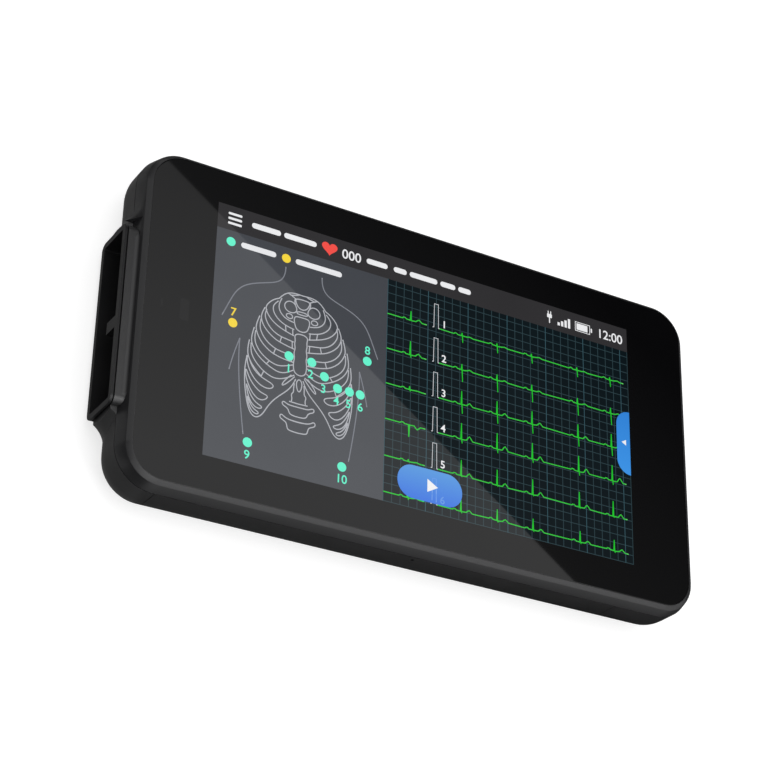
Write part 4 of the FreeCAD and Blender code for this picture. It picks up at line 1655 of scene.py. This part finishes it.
@dataclass
class StatusBar:
    """Bar along the top of the picture, with plain signs and numbers."""

    line: float = 30.4
    digit: float = 2.6
    spans: Line = (
        (-51.6, -43.6), (-42.7, -33.6), (-19.3, -13.2), (-11.4, -7.6),
        (-6.7, 1.5), (2.4, 6.9), (7.8, 11.6),
    )
    numbers: tuple[Mark, ...] = (("000", -26.4, 29.1), ("12:00", 51.2, 29.0))
    heart_place: Point = (-29.9, 30.6)
    heart_scale: Point = (0.138, 0.128)
    heart_steps: int = 48
    menu_rows: tuple[float, ...] = (31.8, 30.45, 29.1)
    signal_heights: tuple[float, ...] = (0.9, 1.5, 2.1, 2.8)
    battery_line: float = 0.26
    battery_frame: Line = ((44.2, 29.0), (48.8, 29.0), (48.8, 31.6), (44.2, 31.6))
    battery_parts: tuple[tuple[float, ...], ...] = (
        (46.35, 30.3, 1.75, 0.95, 0.15), (49.35, 30.3, 0.22, 0.6, 0.1),
    )
    plug_parts: tuple[tuple[float, ...], ...] = (
        (36.0, 30.9, 0.75, 0.55, 0.15), (35.6, 31.8, 0.14, 0.5, 0.05),
        (36.4, 31.8, 0.14, 0.5, 0.05), (36.0, 29.6, 0.16, 0.8, 0.05),
    )
    ground: Finish = LitPixels("picture_bar", rgb(48, 47, 49), rgb(51, 50, 52))
    white: Finish = LitPixels("picture_sign_white", rgb(244, 245, 247))
    red: Finish = LitPixels("picture_red", rgb(252, 84, 76))

    def heart(self) -> Piece:
        """A plain heart.

        Returns:
            The new object.
        """
        shape = bmesh.new()
        (across, up), (wide, tall) = self.heart_place, self.heart_scale
        z = Layer.MARKS.value - SHEET / 2
        points = []
        for step in range(self.heart_steps):
            turn = math.tau * step / self.heart_steps
            x = 16 * math.sin(turn) ** 3
            y = 13 * math.cos(turn) - 5 * math.cos(2 * turn)
            y -= 2 * math.cos(3 * turn) + math.cos(4 * turn)
            points.append(shape.verts.new((across + x * wide, up + y * tall, z)))
        raise_face(shape, shape.faces.new(points))
        return object_from("heart_sign", shape)

    def signs(self) -> Piece:
        """Menu, signal, battery and plug signs as one piece.

        Returns:
            The new object.
        """
        shape = bmesh.new()
        z = Layer.MARKS.value - SHEET / 2
        menu = [(-56.2, y, 1.85, 0.32, 0.2) for y in self.menu_rows]
        signal = [
            (38.9 + index * 1.1, 28.9 + height / 2, 0.36, height / 2, 0.05)
            for index, height in enumerate(self.signal_heights)
        ]
        for x, y, half_x, half_y, corner in (*menu, *signal, *self.battery_parts, *self.plug_parts):
            raise_face(shape, rounded_face(shape, half_x, half_y, corner, z, (x, y), 4))
        return object_from("status_signs", shape)

    def make(self, bench: Bench) -> None:
        """Makes the bar.

        Args:
            bench: The bench that dresses the pieces and ties them down.
        """
        z = Layer.MARKS.value
        across, up = (-PICTURE_HALF_LENGTH, PICTURE_HALF_LENGTH), (BAR_FOOT, PICTURE_HALF_WIDTH)
        for piece, finish in (
            (plain_sheet("status_ground", across, up), self.ground),
            (self.heart(), self.red),
            (self.signs(), self.white),
            (
                strokes("battery_sign", [self.battery_frame], self.battery_line, z, closed=True),
                self.white,
            ),
            (bar_row("status_bars", self.spans, self.line), self.white),
            (digits("status_numbers", self.numbers, self.digit, z), self.white),
        ):
            bench.fit(piece, finish)


@dataclass
class Screen:
    """Display panel with the picture that it shows."""

    half_length: float = 62.85
    half_width: float = 36.0
    corner: float = 0.8
    low: float = 16.32
    top: float = 17.82
    surround: Finish = LacqueredGlass("panel_surround", rgb(8, 8, 9))

    def make(self, bench: Bench) -> None:
        """Makes the panel and each part of the picture.

        Args:
            bench: The bench that dresses the pieces and ties them down.
        """
        shape = slab(self.half_length, self.half_width, self.corner, self.low, self.top)
        panel = object_from("display_panel", shape)
        bench.fit(panel, self.surround, replaced=("lcd_panel",))
        for part in (StatusBar(), ChestChart(), TracePanel()):
            part.make(bench)


# --------------------------------------------------------------------------
# Studio
# --------------------------------------------------------------------------


@dataclass
class Studio:
    """Camera, pale floor, white surround, two lamps and the cards that only reflections see."""

    camera_place: Place = (-247.414, -245.105, 432.721)
    camera_turn: tuple[float, float, float, float] = (0.939514, 0.221456, -0.251644, 0.070335)
    lens: float = 100.25
    sensor: float = 36.0
    ambient: float = 0.55
    floor_half: float = 2500.0
    floor_drop: float = 0.05
    floor_grey: float = 0.45
    floor_glow: float = 0.72
    card_edge: tuple[Point, Point] = ((-74.2, 40.6), (40.5, -41.3))
    card_reach: float = 260.0
    card_far: float = 330.0
    pale_start: float = -85.0
    dark_fade: float = 74.0
    glass_top: float = 18.92
    floor_cards: tuple[tuple, ...] = (
        ("under_card", -0.04, (-1600, 1600), (-1600, 1600), (0.05, 0.05), (0, 0, 0), (100, 0, 0)),
        ("left_strip", -0.03, (-105, -70), (-62, 80), (0.25, 0.23), (-88, 0, 0), (-78, 0, 0)),
        ("far_strip", -0.03, (-134, -106), (-62, 80), (0.0, 1.2), (-126, 0, 0), (-114, 0, 0)),
        ("low_strip", -0.03, (-70, 90), (-62, -30), (0.09, 0.02), (-60, 0, 0), (60, 0, 0)),
        # near_card glows 0.46 next to the object's lower side and 0.80 further out: a painted
        # shadow of the object on the floor, as the sides reflect it.
        ("near_card", -0.02, (-75, 400), (-700, -62), (0.46, 0.80), (0, -63, 0), (0, -75, 0)),
    )
    hung_cards: tuple[tuple, ...] = (
        (
            "left_card",
            ((-520, -700, 0), (-520, 1500, 0), (-160, 1500, 1500), (-160, -700, 1500)),
            (0.04, 1.6), (0, 0, 150), (0, 0, 470),
        ),
        (
            "front_card",
            ((700, -650, 350), (300, -500, 800), (-550, -350, 760), (-350, -800, 450)),
            (2.4, 2.8), (-400, 0, 0), (400, 0, 0),
        ),
        (
            "high_card",
            ((650, -480, 800), (650, -60, 950), (-60, -60, 950), (-60, -450, 780)),
            (5.5, 5.5), (0, 0, 0), (400, 0, 0),
        ),
    )
    lamps: tuple[tuple[str, Place, Place, float, float], ...] = (
        ("overhead", (0.0, 100.0, 1500.0), (0.0, 0.0, 0.0), 1600.0, 12.0),
        ("front", (480.0, -816.0, 732.0), (0.0, 0.0, 15.0), 500.0, 3.2),
    )

    def camera(self) -> None:
        """Adds the camera."""
        data = bpy.data.cameras.new("view")
        data.sensor_fit = "HORIZONTAL"
        data.sensor_width = self.sensor
        data.lens = self.lens
        data.clip_start = 0.01
        data.clip_end = 50.0
        camera = linked("view", data)
        turn = Quaternion(self.camera_turn).normalized().to_matrix().to_4x4()
        camera.matrix_world = Matrix.Translation(Vector(self.camera_place) * MM) @ turn
        bpy.context.scene.camera = camera

    def world(self) -> None:
        """Makes the surround white to the camera and in reflections, and an even fill elsewhere."""
        world = bpy.data.worlds.new("surround")
        bpy.context.scene.world = world
        world.use_nodes = True
        tree = world.node_tree
        back = tree.nodes["Background"]
        back.inputs["Color"].default_value = (1.0, 1.0, 1.0, 1.0)
        back.inputs["Strength"].default_value = self.ambient
        white = tree.nodes.new("ShaderNodeBackground")
        white.inputs["Color"].default_value = (1.0, 1.0, 1.0, 1.0)
        white.inputs["Strength"].default_value = 1.0
        mixer = tree.nodes.new("ShaderNodeMixShader")
        tree.links.new(self.seen(tree), mixer.inputs["Fac"])
        tree.links.new(back.outputs["Background"], mixer.inputs[1])
        tree.links.new(white.outputs["Background"], mixer.inputs[2])
        tree.links.new(mixer.outputs["Shader"], tree.nodes["World Output"].inputs["Surface"])

    def seen(self, tree: bpy.types.NodeTree) -> Socket:
        """1 for rays that the camera sees straight, in a reflection or through glass.

        Args:
            tree: The node tree that gets the nodes.

        Returns:
            The pattern, 0 or 1.
        """
        path = tree.nodes.new("ShaderNodeLightPath")
        seen = path.outputs["Is Camera Ray"]
        for kind in ("Is Glossy Ray", "Is Transmission Ray"):
            either = tree.nodes.new("ShaderNodeMath")
            either.operation = "MAXIMUM"
            tree.links.new(seen, either.inputs[0])
            tree.links.new(path.outputs[kind], either.inputs[1])
            seen = either.outputs["Value"]
        return seen

    def glower(self, name: str, grey: float) -> Material:
        """Material without gloss that can glow white, for the floor and the cards.

        Args:
            name: Name of the material.
            grey: Its base colour, 0 to 1.

        Returns:
            The material.
        """
        material = bpy.data.materials.new(name)
        material.use_nodes = True
        shader = material.node_tree.nodes["Principled BSDF"]
        shader.inputs["Base Color"].default_value = (grey, grey, grey, 1.0)
        shader.inputs["Specular IOR Level"].default_value = 0.0
        shader.inputs["Emission Color"].default_value = (1.0, 1.0, 1.0, 1.0)
        return material

    def floor(self) -> None:
        """Adds the floor: white where it is lit, with the object's shadow kept."""
        shape = bmesh.new()
        bmesh.ops.create_grid(shape, x_segments=1, y_segments=1, size=self.floor_half)
        bmesh.ops.translate(shape, vec=(0.0, 0.0, -self.floor_drop), verts=shape.verts)
        piece = object_from("floor", shape)
        material = self.glower("pale_floor", self.floor_grey)
        tree = material.node_tree
        shader = tree.nodes["Principled BSDF"]
        shader.inputs["Roughness"].default_value = 0.9
        strength = tree.nodes.new("ShaderNodeMath")
        strength.operation = "MULTIPLY"
        strength.inputs[1].default_value = self.floor_glow
        tree.links.new(self.seen(tree), strength.inputs[0])
        tree.links.new(strength.outputs["Value"], shader.inputs["Emission Strength"])
        piece.data.materials.append(material)

    def card(
        self, name: str, outline: Iterable[Vector], glows: Point, start: Vector, end: Vector
    ) -> None:
        """Adds a glowing card that only reflections see.

        Args:
            name: Name of the card.
            outline: Its corners in millimetres.
            glows: How strongly it glows at the start and at the end of its fade.
            start: Where the fade starts, in millimetres.
            end: Where the fade ends.
        """
        shape = bmesh.new()
        shape.faces.new([shape.verts.new(corner) for corner in outline])
        piece = object_from(name, shape)
        material = self.glower(name, 0.0)
        tree = material.node_tree
        way = (end - start) / (end - start).length_squared
        place = tree.nodes.new("ShaderNodeTexCoord")
        share = tree.nodes.new("ShaderNodeVectorMath")
        share.operation = "DOT_PRODUCT"
        share.inputs[1].default_value = way / MM
        fade = tree.nodes.new("ShaderNodeMapRange")
        first = start.dot(way)
        limits = (first, first + 1.0, *glows)
        for socket, value in zip(("From Min", "From Max", "To Min", "To Max"), limits):
            fade.inputs[socket].default_value = value
        tree.links.new(place.outputs["Object"], share.inputs[0])
        tree.links.new(share.outputs["Value"], fade.inputs["Value"])
        glow = tree.nodes["Principled BSDF"].inputs["Emission Strength"]
        tree.links.new(fade.outputs["Result"], glow)
        piece.data.materials.append(material)
        piece.visible_camera = False
        piece.visible_diffuse = False
        piece.visible_shadow = False
        piece.visible_transmission = False
        piece.visible_glossy = True

    def glass_cards(self) -> None:
        """Adds the pale card that the glass reflects, and the dark one whose edge lies across it.

        Their corners are laid out on the glass's plane, then moved away from the camera's mirror
        image.
        """
        camera_x, camera_y, camera_z = self.camera_place
        eye = Vector((camera_x, camera_y, 2 * self.glass_top - camera_z))
        first, second = (Vector((*point, self.glass_top)) for point in self.card_edge)
        along = (second - first).normalized()
        across = Vector((-along.y, along.x, 0.0))
        start, end = first - along * self.card_reach, second + along * self.card_reach
        pale_fade = (Vector((0, -35, 0)), Vector((0, 38, 0)))
        dark_fade = (first, first + across * self.dark_fade)
        for name, low, scale, glows, fade in (
            ("pale_card", self.pale_start, 1.45, (1.0, 0.6), pale_fade),
            ("dark_card", 0.0, 1.4065, (0.15, 0.015), dark_fade),
        ):
            near, far = across * low, across * self.card_far
            corners = (start + near, end + near, end + far, start + far)
            outline = [eye + (corner - eye) * scale for corner in corners]
            self.card(name, outline, glows, *(eye + (point - eye) * scale for point in fade))

    def room_cards(self) -> None:
        """Adds the cards that the sides reflect: five on the floor and three hung above it."""
        for name, z, (x0, x1), (y0, y1), glows, start, end in self.floor_cards:
            corners = ((x0, y0, z), (x1, y0, z), (x1, y1, z), (x0, y1, z))
            self.card(name, map(Vector, corners), glows, Vector(start), Vector(end))
        for name, corners, glows, start, end in self.hung_cards:
            self.card(name, map(Vector, corners), glows, Vector(start), Vector(end))

    def lamp(self, name: str, place: Place, aim: Place, size: float, power: float) -> None:
        """Adds a square soft lamp that reflections don't show.

        Args:
            name: Name of the lamp.
            place: Where it hangs, in millimetres.
            aim: Where it points, in millimetres.
            size: Length of its side in millimetres.
            power: Its power in watts.
        """
        data = bpy.data.lights.new(name, "AREA")
        data.shape = "SQUARE"
        data.size = size * MM
        data.energy = power
        lamp = linked(name, data)
        way = (Vector(aim) - Vector(place)).normalized()
        turn = way.to_track_quat("-Z", "Y").to_matrix().to_4x4()
        lamp.matrix_world = Matrix.Translation(Vector(place) * MM) @ turn
        lamp.visible_glossy = False

    def make(self) -> None:
        """Makes the studio."""
        bpy.context.scene.view_settings.view_transform = "Standard"
        self.camera()
        self.world()
        self.floor()
        self.glass_cards()
        self.room_cards()
        for lamp in self.lamps:
            self.lamp(*lamp)


def main() -> None:
    """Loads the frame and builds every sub-assembly."""
    logging.basicConfig(level=logging.INFO, format="%(message)s")
    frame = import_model()
    bench = Bench(frame)
    Studio().make()
    for assembly in (Shells(), CoverGlass(), Screen(), LeadDock(), SideFittings(), Insides()):
        LOG.info("building %s", type(assembly).__name__)
        assembly.make(bench)
    LOG.info("made %d pieces", len(bench.made))


if __name__ == "__main__":
    main()
